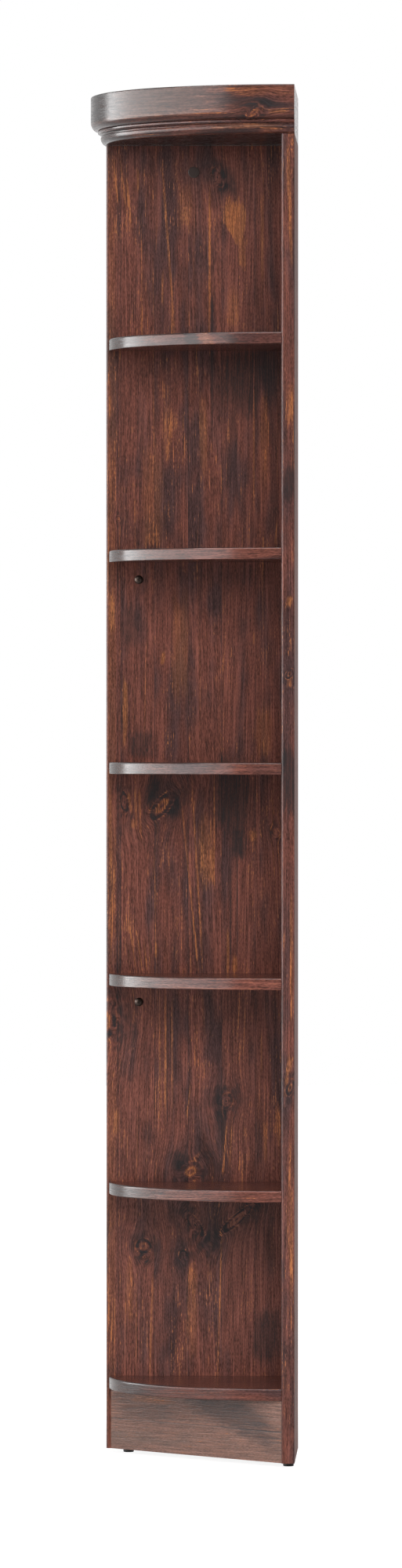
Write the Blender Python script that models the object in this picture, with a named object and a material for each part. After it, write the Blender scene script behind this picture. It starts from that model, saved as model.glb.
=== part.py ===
"""Shelf end unit: a tall, open, quarter-round end for a row of cabinets, in stained pine.

Two upright panels of equal depth meet at a right angle. Quarter-round shelves fill the angle
between them, a moulded quarter-round cornice caps them, and a straight plinth board closes the
foot across the corner. Screws through the panels' outer faces hold the shelves, cams and dowels
hold the top, and nail-on glides carry the whole.

The frame is in metres with +Z up. The origin is on the floor, at the middle of the square plan
that the cornice fills. The wide panel's open face looks along -Y, and the side panel's inner
face looks along -X. The plan is the same on both sides of the plane x = y.
"""

import math

import bmesh
import bpy
from mathutils import Matrix, Vector

# Plan of the unit
BODY_SIDE = 0.300
PANEL_THICKNESS = 0.020
PANEL_EDGE_RADIUS = 0.0025
SHELF_INSET = 0.0046
PLINTH_INSET = 0.0074
CORNICE_OVERHANG = 0.024

# Heights, from the floor up
FOOT_HEIGHT = 0.0065
PLINTH_HEIGHT = 0.0955
SHELF_THICKNESS = 0.018
BOTTOM_BAY = 0.286
SECOND_BAY = 0.308
UPPER_BAY = 0.3124
UPPER_BAY_COUNT = 3
TOP_BAY = 0.303

# Mouldings of the cornice, from the top down
FASCIA_HEIGHT = 0.0395
FASCIA_EDGE_RADIUS = 0.0018
OVOLO_HEIGHT = 0.014
OVOLO_WIDTH = 0.011
FILLET_HEIGHT = 0.004
BEAD_STEP = 0.0033
COVE_RADIUS = 0.003
BEAD_HEIGHT = 0.013
BEAD_WIDTH = 0.008

# Boards that are not set out above
PLINTH_THICKNESS = 0.018
SHELF_EDGE_RADIUS = 0.003

# Clearance between pieces that touch, behind the tips of fasteners, and past the end of a cut
GAP = 0.0003
TIP_CLEARANCE = 0.0008
OVERRUN = 0.002

# Shelf screws, driven through the panels into the shelf edges
SCREW_LENGTH = 0.050
SCREW_HEAD_RADIUS = 0.005
SCREW_HEAD_HEIGHT = 0.003
SCREW_SHANK_RADIUS = 0.0035
SCREW_SHANK_LENGTH = 0.014
SCREW_CORE_RADIUS = 0.0025
SCREW_TIP_LENGTH = 0.003
SCREW_TIP_RADIUS = 0.0008
SCREW_SOCKET_APOTHEM = 0.002
SCREW_SOCKET_DEPTH = 0.0022
SCREW_SINK = 0.0003
INNER_SCREW_FROM_CORNER = 0.050
OUTER_SCREW_FROM_CORNER = 0.200

# Wooden dowels
DOWEL_RADIUS = 0.004
DOWEL_LENGTH = 0.030
DOWEL_SEAT = 0.009
DOWEL_CHAMFER = 0.0008
CORNER_DOWEL_SHARES = (0.1, 0.5, 0.9)
TOP_DOWEL_FROM_EDGE = 0.060
PLINTH_DOWEL_SPACING = 0.200

# Cam fittings between the panels and the top board
CAM_RADIUS = 0.0075
CAM_LENGTH = 0.014
CAM_DROP = 0.0415
CAM_FROM_CORNER = 0.1427
CAM_SOCKET_SPAN = 0.0064
CAM_SOCKET_WIDTH = 0.0018
CAM_SOCKET_DEPTH = 0.0025
CAP_RADIUS = 0.0088
CAP_THICKNESS = 0.0014
CAP_EDGE_RADIUS = 0.0007
BOLT_HEAD_RADIUS = 0.0034
BOLT_HEAD_HEIGHT = 0.004
BOLT_NECK_RADIUS = 0.0024
BOLT_NECK_LENGTH = 0.008
BOLT_SLEEVE_RADIUS = 0.0038
BOLT_THREAD_RADIUS = 0.0028
BOLT_THREAD_LENGTH = 0.0105

# Countersunk screws that hold the cornice down on the top board
CORNICE_SCREW_LENGTH = 0.040
CORNICE_SCREW_RADIUS = 0.002
CORNICE_SCREW_HEAD_RADIUS = 0.004
CORNICE_SCREW_HEAD_HEIGHT = 0.0025
CORNICE_SCREW_TIP_LENGTH = 0.004
CORNICE_SCREW_TIP_RADIUS = 0.0005
CORNICE_SCREW_FROM_CORNER = 0.215
CORNICE_SCREW_ANGLES = {"left": 16.0, "middle": 45.0, "right": 74.0}

# Dome-headed bolts that tie the wide panel to the cabinet beside it
CONNECTOR_HEAD_RADIUS = 0.00675
CONNECTOR_HEAD_HEIGHT = 0.0032
CONNECTOR_CROWN_RADIUS = 0.0012
CONNECTOR_SHANK_RADIUS = 0.003
CONNECTOR_SHORT_OF_BACK = 0.001
CONNECTOR_FROM_EDGE = 0.051
CONNECTOR_DROP = 0.027
CROSS_SPAN = 0.0052
CROSS_WIDTH = 0.0011
CROSS_DEPTH = 0.0016

# Nail-on glides under the panels
GLIDE_RADIUS = 0.00825
GLIDE_TOE_RADIUS = 0.0066
GLIDE_EDGE_HEIGHT = 0.0016
NAIL_RADIUS = 0.0011
NAIL_LENGTH = 0.018
NAIL_TIP_LENGTH = 0.003
NAIL_TIP_RADIUS = 0.0003
GLIDE_FROM_EDGE = 0.0345
GLIDE_FROM_CORNER = 0.030

# Fineness of curves
ARC_STEPS = 24
ROUND_SIDES = 10
HEAD_SIDES = 20
SOCKET_SIDES = 6
EDGE_STEPS = 2
MOULDING_STEPS = 6

# Finishes: colour, roughness and metallic value
STAINED_PINE = ((0.135, 0.052, 0.036, 1.0), 0.42, 0.0)
STAINED_EDGE = ((0.180, 0.076, 0.046, 1.0), 0.40, 0.0)
RAW_BEECH = ((0.520, 0.330, 0.180, 1.0), 0.70, 0.0)
BROWNED_STEEL = ((0.070, 0.050, 0.042, 1.0), 0.38, 0.9)
ZINC_STEEL = ((0.560, 0.550, 0.520, 1.0), 0.32, 1.0)
BROWN_PLASTIC = ((0.055, 0.032, 0.026, 1.0), 0.45, 0.0)
BLACK_PLASTIC = ((0.020, 0.020, 0.022, 1.0), 0.50, 0.0)

# Places that follow from the sizes: outer faces, inner faces and free edges of the two panels
OUTER = (BODY_SIDE + CORNICE_OVERHANG) / 2
INNER = OUTER - PANEL_THICKNESS
FREE = OUTER - BODY_SIDE
MIDDLE = OUTER - PANEL_THICKNESS / 2
FASCIA_RADIUS = INNER - FREE + CORNICE_OVERHANG

PANEL_BOTTOM = FOOT_HEIGHT
BOTTOM_SHELF_BOTTOM = PANEL_BOTTOM + PLINTH_HEIGHT + GAP

# Each upright has a direction along its width, towards the corner, and one out of its back
ALONG = {"side": Vector((0, 1, 0)), "wide": Vector((1, 0, 0))}
OUTWARD = {"side": Vector((1, 0, 0)), "wide": Vector((0, 1, 0))}
UP = Vector((0, 0, 1))


def shelf_bottoms():
    """Height of each shelf's underside, from the bottom shelf up."""
    bays = [BOTTOM_BAY, SECOND_BAY] + [UPPER_BAY] * UPPER_BAY_COUNT
    bottoms = [BOTTOM_SHELF_BOTTOM]
    for bay in bays:
        bottoms.append(bottoms[-1] + SHELF_THICKNESS + bay)
    return bottoms


SHELF_BOTTOMS = shelf_bottoms()
PANEL_TOP = SHELF_BOTTOMS[-1] + SHELF_THICKNESS + TOP_BAY
TOP_BOARD_THICKNESS = COVE_RADIUS + BEAD_HEIGHT
TOP_BOARD_BOTTOM = PANEL_TOP + GAP
TOP_BOARD_TOP = TOP_BOARD_BOTTOM + TOP_BOARD_THICKNESS
CORNICE_BOTTOM = TOP_BOARD_TOP + GAP
CORNICE_TOP = CORNICE_BOTTOM + FILLET_HEIGHT + OVOLO_HEIGHT + FASCIA_HEIGHT


def clear_scene():
    """Removes whatever the scene holds."""
    for old in list(bpy.data.objects):
        bpy.data.objects.remove(old, do_unlink=True)


def on_upright(upright, along, outward, height):
    """World point from a place along an upright, across its thickness and above the floor."""
    return ALONG[upright] * along + OUTWARD[upright] * outward + UP * height


def aimed(point, direction):
    """Matrix that carries a shape made along +Z to a point, turned along a direction."""
    turn = UP.rotation_difference(direction).to_matrix().to_4x4()
    return Matrix.Translation(point) @ turn


def add_object(name, bm, finish=None, sharp_angle=math.radians(35)):
    """Links a bmesh as a named object, shaded smooth between its sharp edges."""
    bmesh.ops.recalc_face_normals(bm, faces=bm.faces)
    mesh = bpy.data.meshes.new(name)
    bm.to_mesh(mesh)
    bm.free()
    mesh.shade_smooth()
    mesh.set_sharp_from_angle(angle=sharp_angle)
    obj = bpy.data.objects.new(name, mesh)
    bpy.context.scene.collection.objects.link(obj)
    if finish:
        apply_finish(obj, finish)
    return obj


def apply_finish(obj, finish):
    """Gives an object a Principled material of its own."""
    colour, roughness, metallic = finish
    material = bpy.data.materials.new(obj.name + "_finish")
    material.use_nodes = True
    material.diffuse_color = colour
    shader = material.node_tree.nodes["Principled BSDF"]
    shader.inputs["Base Color"].default_value = colour
    shader.inputs["Roughness"].default_value = roughness
    shader.inputs["Metallic"].default_value = metallic
    obj.data.materials.append(material)


def turned(profile, sides=ROUND_SIDES):
    """Closed solid turned round +Z from (radius, height) points, with flat ends."""
    bm = bmesh.new()
    verts = [bm.verts.new((radius, 0, height)) for radius, height in profile]
    edges = [bm.edges.new(pair) for pair in zip(verts, verts[1:])]
    bmesh.ops.spin(
        bm, geom=verts + edges, cent=(0, 0, 0), axis=(0, 0, 1),
        angle=math.tau, steps=sides, use_merge=True,
    )
    bmesh.ops.holes_fill(bm, edges=[edge for edge in bm.edges if edge.is_boundary], sides=sides)
    bmesh.ops.recalc_face_normals(bm, faces=bm.faces)
    return bm


def prism(outline, bottom, top):
    """Closed solid from a plan outline, raised between two heights."""
    bm = bmesh.new()
    base = bm.faces.new([bm.verts.new((point[0], point[1], bottom)) for point in outline])
    raised = bmesh.ops.extrude_face_region(bm, geom=[base])["geom"]
    lifted = [item for item in raised if isinstance(item, bmesh.types.BMVert)]
    bmesh.ops.translate(bm, verts=lifted, vec=UP * (top - bottom))
    bmesh.ops.recalc_face_normals(bm, faces=bm.faces)
    return bm


def cutter(name, solids):
    """Joins (bmesh, matrix) solids into one hidden wire object that cuts."""
    joined = bmesh.new()
    for bm, matrix in solids:
        bm.transform(matrix)
        mesh = bpy.data.meshes.new(name)
        bm.to_mesh(mesh)
        bm.free()
        joined.from_mesh(mesh)
        bpy.data.meshes.remove(mesh)
    obj = add_object(name, joined)
    obj.hide_render = True
    obj.display_type = "WIRE"
    return obj


def cut(obj, label, solids):
    """Takes a group of solids, which are clear of each other, out of an object."""
    boolean = obj.modifiers.new(label, "BOOLEAN")
    boolean.operation = "DIFFERENCE"
    boolean.solver = "EXACT"
    boolean.object = cutter(obj.name + "_" + label, solids)


def quarter_curve(start, end, steps, bulge):
    """Points of a quarter ellipse between two profile points, after the first of them.

    A profile point is (inset, drop). A bulging quarter leaves the start downwards and turns
    inwards; a hollow one leaves it inwards and turns downwards.
    """
    points = []
    for step in range(1, steps + 1):
        angle = math.pi / 2 * step / steps
        if bulge:
            inset_share, drop_share = 1 - math.cos(angle), math.sin(angle)
        else:
            inset_share, drop_share = math.sin(angle), 1 - math.cos(angle)
        inset = start[0] + (end[0] - start[0]) * inset_share
        drop = start[1] + (end[1] - start[1]) * drop_share
        points.append((inset, drop))
    return points


def quarter_round_path(corner, lead, radius):
    """Plan points and outward normals round a quarter-round front edge.

    The arc's centre lies one lead inside the corner on both sides, and a straight lead runs
    from each end of the arc to the board's flat sides.
    """
    centre = corner - lead
    path = []
    if lead:
        path.append(((centre - radius, corner), (-1, 0)))
    for step in range(ARC_STEPS + 1):
        angle = math.pi / 2 * step / ARC_STEPS
        normal = (-math.cos(angle), -math.sin(angle))
        path.append(((centre + radius * normal[0], centre + radius * normal[1]), normal))
    if lead:
        path.append(((corner, centre - radius), (0, -1)))
    return path


def moulded_board(path, corner, profile, top):
    """Closed board with an edge profile of (inset, drop) points carried along a path."""
    bm = bmesh.new()
    rows = []
    for inset, drop in profile:
        row = [
            bm.verts.new((x - normal_x * inset, y - normal_y * inset, top - drop))
            for (x, y), (normal_x, normal_y) in path
        ]
        rows.append(row)
    corner_top = bm.verts.new((corner, corner, top - profile[0][1]))
    corner_bottom = bm.verts.new((corner, corner, top - profile[-1][1]))
    for upper, lower in zip(rows, rows[1:]):
        for index in range(len(path) - 1):
            bm.faces.new((upper[index], upper[index + 1], lower[index + 1], lower[index]))
    bm.faces.new(rows[0] + [corner_top])
    bm.faces.new(rows[-1] + [corner_bottom])
    bm.faces.new([row[0] for row in rows] + [corner_bottom, corner_top])
    bm.faces.new([row[-1] for row in rows] + [corner_bottom, corner_top])
    bmesh.ops.recalc_face_normals(bm, faces=bm.faces)
    return bm


def panel_outline(upright, end):
    """Plan outline of an upright, with both arrises of its free edge rounded."""
    radius = PANEL_EDGE_RADIUS
    points = []
    for outward, first_angle in ((INNER + radius, math.pi), (OUTER - radius, 3 * math.pi / 2)):
        for step in range(EDGE_STEPS + 1):
            angle = first_angle + math.pi / 2 * step / EDGE_STEPS
            points.append((outward + radius * math.cos(angle),
                           FREE + radius + radius * math.sin(angle)))
    points += [(OUTER, end), (INNER, end)]
    return [on_upright(upright, along, outward, 0) for outward, along in points]


def socketed_screw():
    """Shelf screw along +Z: flat countersunk head with a six-sided socket, shank and core."""
    bm = turned([
        (SCREW_HEAD_RADIUS, 0),
        (SCREW_SHANK_RADIUS, SCREW_HEAD_HEIGHT),
        (SCREW_SHANK_RADIUS, SCREW_SHANK_LENGTH),
        (SCREW_CORE_RADIUS, SCREW_SHANK_LENGTH + SCREW_SHANK_RADIUS - SCREW_CORE_RADIUS),
        (SCREW_CORE_RADIUS, SCREW_LENGTH - SCREW_TIP_LENGTH),
        (SCREW_TIP_RADIUS, SCREW_LENGTH),
    ])
    head = min(bm.faces, key=lambda face: face.calc_center_median().z)
    rim = list(head.edges)
    bmesh.ops.delete(bm, geom=[head], context="FACES_ONLY")
    corner_radius = SCREW_SOCKET_APOTHEM / math.cos(math.pi / SOCKET_SIDES)
    for height in (0, SCREW_SOCKET_DEPTH):
        ring = bmesh.ops.create_circle(
            bm, segments=SOCKET_SIDES, radius=corner_radius,
            matrix=Matrix.Translation((0, 0, height)),
        )["verts"]
        ring_edges = list({edge for vert in ring for edge in vert.link_edges})
        bmesh.ops.bridge_loops(bm, edges=rim + ring_edges)
        rim = ring_edges
    bmesh.ops.holes_fill(bm, edges=rim, sides=SOCKET_SIDES)
    return bm


def shelf_screw_places():
    """Yields each shelf screw's upright, shelf number, name end, place along and height."""
    for number, bottom in enumerate(SHELF_BOTTOMS):
        height = bottom + SHELF_THICKNESS / 2
        for upright in ALONG:
            for place, distance in (("inner", INNER_SCREW_FROM_CORNER),
                                    ("outer", OUTER_SCREW_FROM_CORNER)):
                yield upright, number, place, INNER - distance, height


def shelf_name(number):
    """Name of a shelf: the lowest one stands on the plinth."""
    return "bottom_shelf" if number == 0 else f"shelf_{number}"


def screw_clearance_hole():
    """Countersunk hole through a panel, along +Z from its outer face."""
    return turned([
        (SCREW_HEAD_RADIUS + GAP, -OVERRUN),
        (SCREW_HEAD_RADIUS + GAP, SCREW_SINK + GAP),
        (SCREW_SHANK_RADIUS + GAP, SCREW_SINK + SCREW_HEAD_HEIGHT + GAP),
        (SCREW_SHANK_RADIUS + GAP, PANEL_THICKNESS + OVERRUN),
    ])


def screw_pilot_hole():
    """Blind hole in a shelf's flat edge, along +Z from the panel's outer face."""
    return turned([
        (SCREW_CORE_RADIUS + GAP, PANEL_THICKNESS - OVERRUN),
        (SCREW_CORE_RADIUS + GAP, SCREW_SINK + SCREW_LENGTH + TIP_CLEARANCE),
    ])


def make_shelf_screws():
    """Two screws through each panel into each shelf."""
    for upright, number, place, along, height in shelf_screw_places():
        name = f"{shelf_name(number)}_{upright}_screw_{place}"
        screw = add_object(name, socketed_screw(), BROWNED_STEEL)
        head = on_upright(upright, along, OUTER - SCREW_SINK, height)
        screw.matrix_world = aimed(head, -OUTWARD[upright])


def dowel():
    """Dowel along +Z with chamfered ends."""
    return turned([
        (DOWEL_RADIUS - DOWEL_CHAMFER, 0),
        (DOWEL_RADIUS, DOWEL_CHAMFER),
        (DOWEL_RADIUS, DOWEL_LENGTH - DOWEL_CHAMFER),
        (DOWEL_RADIUS - DOWEL_CHAMFER, DOWEL_LENGTH),
    ])


def dowel_hole():
    """Hole for a dowel along +Z, a little longer than the dowel at both ends."""
    return turned([
        (DOWEL_RADIUS + GAP, -TIP_CLEARANCE),
        (DOWEL_RADIUS + GAP, DOWEL_LENGTH + TIP_CLEARANCE),
    ])


def corner_dowel_matrices():
    """Dowels from the wide panel's end edge into the side panel's inner face."""
    for share in CORNER_DOWEL_SHARES:
        height = PANEL_BOTTOM + (PANEL_TOP - PANEL_BOTTOM) * share
        start = Vector((INNER - DOWEL_LENGTH + DOWEL_SEAT, MIDDLE, height))
        yield aimed(start, OUTWARD["side"])


def top_dowel_matrix(upright):
    """Dowel that stands in an upright's top edge and enters the top board."""
    start = on_upright(upright, FREE + TOP_DOWEL_FROM_EDGE, MIDDLE,
                       TOP_BOARD_BOTTOM + DOWEL_SEAT - DOWEL_LENGTH)
    return aimed(start, UP)


def plinth_corners():
    """Plan outline of the plinth board, whose ends are mitred against both panels."""
    face = INNER - (BODY_SIDE - PANEL_THICKNESS - PLINTH_INSET)
    back = face + PLINTH_THICKNESS * math.sqrt(2)
    wall = INNER - GAP
    return [(face, wall), (wall, face), (wall, back), (back, wall)]


def plinth_dowel_matrices():
    """Dowels that stand in the plinth's top edge and enter the bottom shelf."""
    corners = plinth_corners()
    middle_x = sum(point[0] for point in corners) / len(corners)
    middle_y = sum(point[1] for point in corners) / len(corners)
    run = Vector((1, -1, 0)).normalized()
    for side in (-1, 1):
        start = Vector((middle_x, middle_y, 0)) + run * (side * PLINTH_DOWEL_SPACING / 2)
        start.z = BOTTOM_SHELF_BOTTOM + DOWEL_SEAT - DOWEL_LENGTH
        yield aimed(start, UP)


def make_dowels():
    """All the dowels of the unit."""
    for number, matrix in enumerate(corner_dowel_matrices(), start=1):
        add_object(f"corner_dowel_{number}", dowel(), RAW_BEECH).matrix_world = matrix
    for upright in ALONG:
        obj = add_object(f"{upright}_top_dowel", dowel(), RAW_BEECH)
        obj.matrix_world = top_dowel_matrix(upright)
    for place, matrix in zip(("left", "right"), plinth_dowel_matrices()):
        add_object(f"plinth_dowel_{place}", dowel(), RAW_BEECH).matrix_world = matrix


def cut_cross(obj, span, width, depth, rise=0):
    """Cuts a cross recess into a head whose face lies at the object's origin, less a rise."""
    reach, half = span / 2, width / 2
    arm = [(reach, -half), (reach, half), (half, half)]
    outline = []
    for quarter in range(4):
        turn = Matrix.Rotation(math.pi / 2 * quarter, 2)
        outline += [turn @ Vector(point) for point in arm]
    place = obj.matrix_world @ Matrix.Translation((0, 0, -rise))
    cut(obj, "recess", [(prism(outline, -OVERRUN, depth), place)])


def cam_face_point(upright):
    """Centre of a cam on an upright's inner face."""
    return on_upright(upright, INNER - CAM_FROM_CORNER, INNER, PANEL_TOP - CAM_DROP)


def cam_pocket(upright):
    """Blind pocket for the cam in the upright's inner face."""
    pocket = turned([
        (CAM_RADIUS + GAP, -OVERRUN),
        (CAM_RADIUS + GAP, CAM_LENGTH + GAP + GAP),
    ], HEAD_SIDES)
    return pocket, aimed(cam_face_point(upright), OUTWARD[upright])


def bolt_axis_point(upright):
    """Point on a cam bolt's axis, level with the cam's centre."""
    return on_upright(upright, INNER - CAM_FROM_CORNER, MIDDLE, PANEL_TOP - CAM_DROP)


def bolt_hole(upright):
    """Hole for the cam bolt's sleeve, from the cam's centre up past the panel's top."""
    hole = turned([
        (BOLT_SLEEVE_RADIUS + GAP, 0),
        (BOLT_SLEEVE_RADIUS + GAP, CAM_DROP + OVERRUN),
    ])
    return hole, aimed(bolt_axis_point(upright), UP)


def bolt_pilot_hole(upright):
    """Blind hole for the cam bolt's thread in the top board's underside."""
    hole = turned([
        (BOLT_THREAD_RADIUS + GAP, CAM_DROP - OVERRUN),
        (BOLT_THREAD_RADIUS + GAP, CAM_DROP + GAP + BOLT_THREAD_LENGTH + TIP_CLEARANCE),
    ])
    return hole, aimed(bolt_axis_point(upright), UP)


def make_cam(upright):
    """Cam drum in its pocket, with the mouth for the bolt's head and the slot for its neck."""
    drum = turned([(CAM_RADIUS, 0), (CAM_RADIUS, CAM_LENGTH)], HEAD_SIDES)
    cam = add_object(f"{upright}_cam", drum, ZINC_STEEL)
    face = cam_face_point(upright) + OUTWARD[upright] * GAP
    cam.matrix_world = aimed(face, OUTWARD[upright])
    centre = bolt_axis_point(upright)
    reach = BOLT_HEAD_RADIUS + GAP
    mouth = turned([(reach, -reach), (reach, CAM_RADIUS + OVERRUN)])
    cut(cam, "mouth", [(mouth, aimed(centre, -ALONG[upright]))])
    slot = turned([(BOLT_NECK_RADIUS + GAP, 0), (BOLT_NECK_RADIUS + GAP, CAM_RADIUS + OVERRUN)])
    cut(cam, "slot", [(slot, aimed(centre, UP))])
    cut_cross(cam, CAM_SOCKET_SPAN, CAM_SOCKET_WIDTH, CAM_SOCKET_DEPTH)


def make_cam_bolt(upright):
    """Bolt whose head the cam holds and whose thread stands in the top board."""
    half_head = BOLT_HEAD_HEIGHT / 2
    neck_top = half_head + BOLT_NECK_LENGTH
    shoulder = BOLT_SLEEVE_RADIUS - BOLT_NECK_RADIUS
    thread_top = CAM_DROP + GAP + BOLT_THREAD_LENGTH
    bolt = turned([
        (BOLT_NECK_RADIUS, -half_head),
        (BOLT_HEAD_RADIUS, 0),
        (BOLT_NECK_RADIUS, half_head),
        (BOLT_NECK_RADIUS, neck_top),
        (BOLT_SLEEVE_RADIUS, neck_top + shoulder),
        (BOLT_SLEEVE_RADIUS, CAM_DROP - GAP),
        (BOLT_THREAD_RADIUS, CAM_DROP),
        (BOLT_THREAD_RADIUS, thread_top - BOLT_THREAD_RADIUS / 2),
        (BOLT_THREAD_RADIUS / 2, thread_top),
    ])
    obj = add_object(f"{upright}_cam_bolt", bolt, ZINC_STEEL)
    obj.matrix_world = aimed(bolt_axis_point(upright), UP)


def make_cam_cap(upright):
    """Flat round cap over the cam, on the upright's inner face."""
    cap = turned([
        (CAP_RADIUS, 0),
        (CAP_RADIUS, CAP_THICKNESS - CAP_EDGE_RADIUS),
        (CAP_RADIUS - CAP_EDGE_RADIUS, CAP_THICKNESS),
    ], HEAD_SIDES)
    obj = add_object(f"{upright}_cam_cap", cap, BROWN_PLASTIC)
    seat = cam_face_point(upright) - OUTWARD[upright] * GAP
    obj.matrix_world = aimed(seat, -OUTWARD[upright])


def connector_places():
    """Heights of the connector bolts, each under one of the shelves."""
    return {
        "lower": SHELF_BOTTOMS[2] - CONNECTOR_DROP,
        "upper": SHELF_BOTTOMS[4] - CONNECTOR_DROP,
    }


def connector_point(height):
    """Centre of a connector bolt on the wide panel's open face."""
    return on_upright("wide", FREE + CONNECTOR_FROM_EDGE, INNER, height)


def connector_hole(height):
    """Hole for a connector bolt, right through the wide panel."""
    hole = turned([
        (CONNECTOR_SHANK_RADIUS + GAP, -OVERRUN),
        (CONNECTOR_SHANK_RADIUS + GAP, PANEL_THICKNESS + OVERRUN),
    ])
    return hole, aimed(connector_point(height), OUTWARD["wide"])


def make_connector_bolts():
    """Dome-headed bolts through the wide panel, with a cross recess."""
    dome = []
    for step in range(EDGE_STEPS + 1):
        angle = math.pi / 2 * (1 - step / EDGE_STEPS)
        slope = (CONNECTOR_HEAD_RADIUS - CONNECTOR_CROWN_RADIUS) * math.cos(angle)
        dome.append((CONNECTOR_CROWN_RADIUS + slope,
                     -GAP - CONNECTOR_HEAD_HEIGHT * math.sin(angle)))
    shank = [
        (CONNECTOR_SHANK_RADIUS, -GAP),
        (CONNECTOR_SHANK_RADIUS, PANEL_THICKNESS - CONNECTOR_SHORT_OF_BACK),
    ]
    for place, height in connector_places().items():
        bolt = turned(dome + shank, HEAD_SIDES)
        obj = add_object(f"connector_bolt_{place}", bolt, BROWNED_STEEL)
        obj.matrix_world = aimed(connector_point(height), OUTWARD["wide"])
        cut_cross(obj, CROSS_SPAN, CROSS_WIDTH, CROSS_DEPTH, rise=CONNECTOR_HEAD_HEIGHT + GAP)


def cornice_screw_matrix(angle):
    """Screw driven up through the top board, at an angle round the inner corner."""
    turn = math.radians(angle)
    point = Vector((INNER - CORNICE_SCREW_FROM_CORNER * math.cos(turn),
                    INNER - CORNICE_SCREW_FROM_CORNER * math.sin(turn),
                    TOP_BOARD_BOTTOM + GAP))
    return aimed(point, UP)


def cornice_screw_hole():
    """Countersunk hole through the top board and on into the cornice."""
    return turned([
        (CORNICE_SCREW_HEAD_RADIUS + GAP, -OVERRUN),
        (CORNICE_SCREW_HEAD_RADIUS + GAP, GAP),
        (CORNICE_SCREW_RADIUS + GAP, CORNICE_SCREW_HEAD_HEIGHT + GAP),
        (CORNICE_SCREW_RADIUS + GAP, CORNICE_SCREW_LENGTH + TIP_CLEARANCE),
    ])


def cornice_screw_holes():
    """The cornice screws' holes at their places."""
    return [(cornice_screw_hole(), cornice_screw_matrix(angle))
            for angle in CORNICE_SCREW_ANGLES.values()]


def make_cornice_screws():
    """Countersunk screws that pull the cornice down on the top board."""
    for place, angle in CORNICE_SCREW_ANGLES.items():
        screw = turned([
            (CORNICE_SCREW_HEAD_RADIUS, 0),
            (CORNICE_SCREW_RADIUS, CORNICE_SCREW_HEAD_HEIGHT),
            (CORNICE_SCREW_RADIUS, CORNICE_SCREW_LENGTH - CORNICE_SCREW_TIP_LENGTH),
            (CORNICE_SCREW_TIP_RADIUS, CORNICE_SCREW_LENGTH),
        ])
        obj = add_object(f"cornice_screw_{place}", screw, BROWNED_STEEL)
        obj.matrix_world = cornice_screw_matrix(angle)
        cut_cross(obj, CROSS_SPAN, CROSS_WIDTH, CROSS_DEPTH)


def glide_places():
    """Yields each glide's upright, name end and place along the upright."""
    for upright in ALONG:
        yield upright, "outer", FREE + GLIDE_FROM_EDGE
        yield upright, "inner", INNER - GLIDE_FROM_CORNER


def nail_hole():
    """Blind hole for a glide's nail, up from the panel's bottom edge."""
    return turned([
        (NAIL_RADIUS + GAP, FOOT_HEIGHT - OVERRUN),
        (NAIL_RADIUS + GAP, FOOT_HEIGHT + NAIL_LENGTH + TIP_CLEARANCE),
    ])


def make_glides():
    """Plastic glides with moulded-in nails, under both panels."""
    for upright, place, along in glide_places():
        seat = FOOT_HEIGHT - GAP
        glide = turned([
            (GLIDE_TOE_RADIUS, 0),
            (GLIDE_RADIUS, GLIDE_EDGE_HEIGHT),
            (GLIDE_RADIUS, seat),
            (NAIL_RADIUS, seat),
            (NAIL_RADIUS, FOOT_HEIGHT + NAIL_LENGTH - NAIL_TIP_LENGTH),
            (NAIL_TIP_RADIUS, FOOT_HEIGHT + NAIL_LENGTH),
        ])
        obj = add_object(f"{upright}_glide_{place}", glide, BLACK_PLASTIC)
        obj.matrix_world = aimed(on_upright(upright, along, MIDDLE, 0), UP)


def panel_bores(upright):
    """Every bore of an upright that keeps clear of the others."""
    bores = []
    for screw_upright, _, _, along, height in shelf_screw_places():
        if screw_upright == upright:
            start = on_upright(upright, along, OUTER, height)
            bores.append((screw_clearance_hole(), aimed(start, -OUTWARD[upright])))
    bores += [(dowel_hole(), matrix) for matrix in corner_dowel_matrices()]
    bores.append((dowel_hole(), top_dowel_matrix(upright)))
    bores.append(bolt_hole(upright))
    for glide_upright, _, along in glide_places():
        if glide_upright == upright:
            foot = on_upright(upright, along, MIDDLE, 0)
            bores.append((nail_hole(), aimed(foot, UP)))
    if upright == "wide":
        bores += [connector_hole(height) for height in connector_places().values()]
    return bores


def make_panel(upright, end):
    """An upright panel with its bores and its cam pocket."""
    solid = prism(panel_outline(upright, end), PANEL_BOTTOM, PANEL_TOP)
    panel = add_object(f"{upright}_panel", solid, STAINED_PINE)
    cut(panel, "bores", panel_bores(upright))
    cut(panel, "pocket", [cam_pocket(upright)])


def shelf_profile():
    """Edge profile of a shelf, with both arrises rounded."""
    radius = SHELF_EDGE_RADIUS
    profile = [(radius, 0)]
    for step in range(1, EDGE_STEPS + 1):
        angle = math.pi / 2 * step / EDGE_STEPS
        profile.append((radius * (1 - math.sin(angle)), radius * (1 - math.cos(angle))))
    lower = [(inset, SHELF_THICKNESS - drop) for inset, drop in reversed(profile)]
    return profile + lower


def shelf_bores(number, bottom):
    """Pilot holes of a shelf, and the plinth's dowel holes in the bottom one."""
    bores = []
    for upright, owner, _, along, height in shelf_screw_places():
        if owner == number:
            start = on_upright(upright, along, OUTER, height)
            bores.append((screw_pilot_hole(), aimed(start, -OUTWARD[upright])))
    if number == 0:
        bores += [(dowel_hole(), matrix) for matrix in plinth_dowel_matrices()]
    return bores


def make_shelves():
    """The quarter-round shelves, from the bottom one up."""
    corner = INNER - GAP
    radius = corner - FREE - SHELF_INSET
    for number, bottom in enumerate(SHELF_BOTTOMS):
        path = quarter_round_path(corner, 0, radius)
        solid = moulded_board(path, corner, shelf_profile(), bottom + SHELF_THICKNESS)
        shelf = add_object(shelf_name(number), solid, STAINED_PINE)
        cut(shelf, "bores", shelf_bores(number, bottom))


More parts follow.
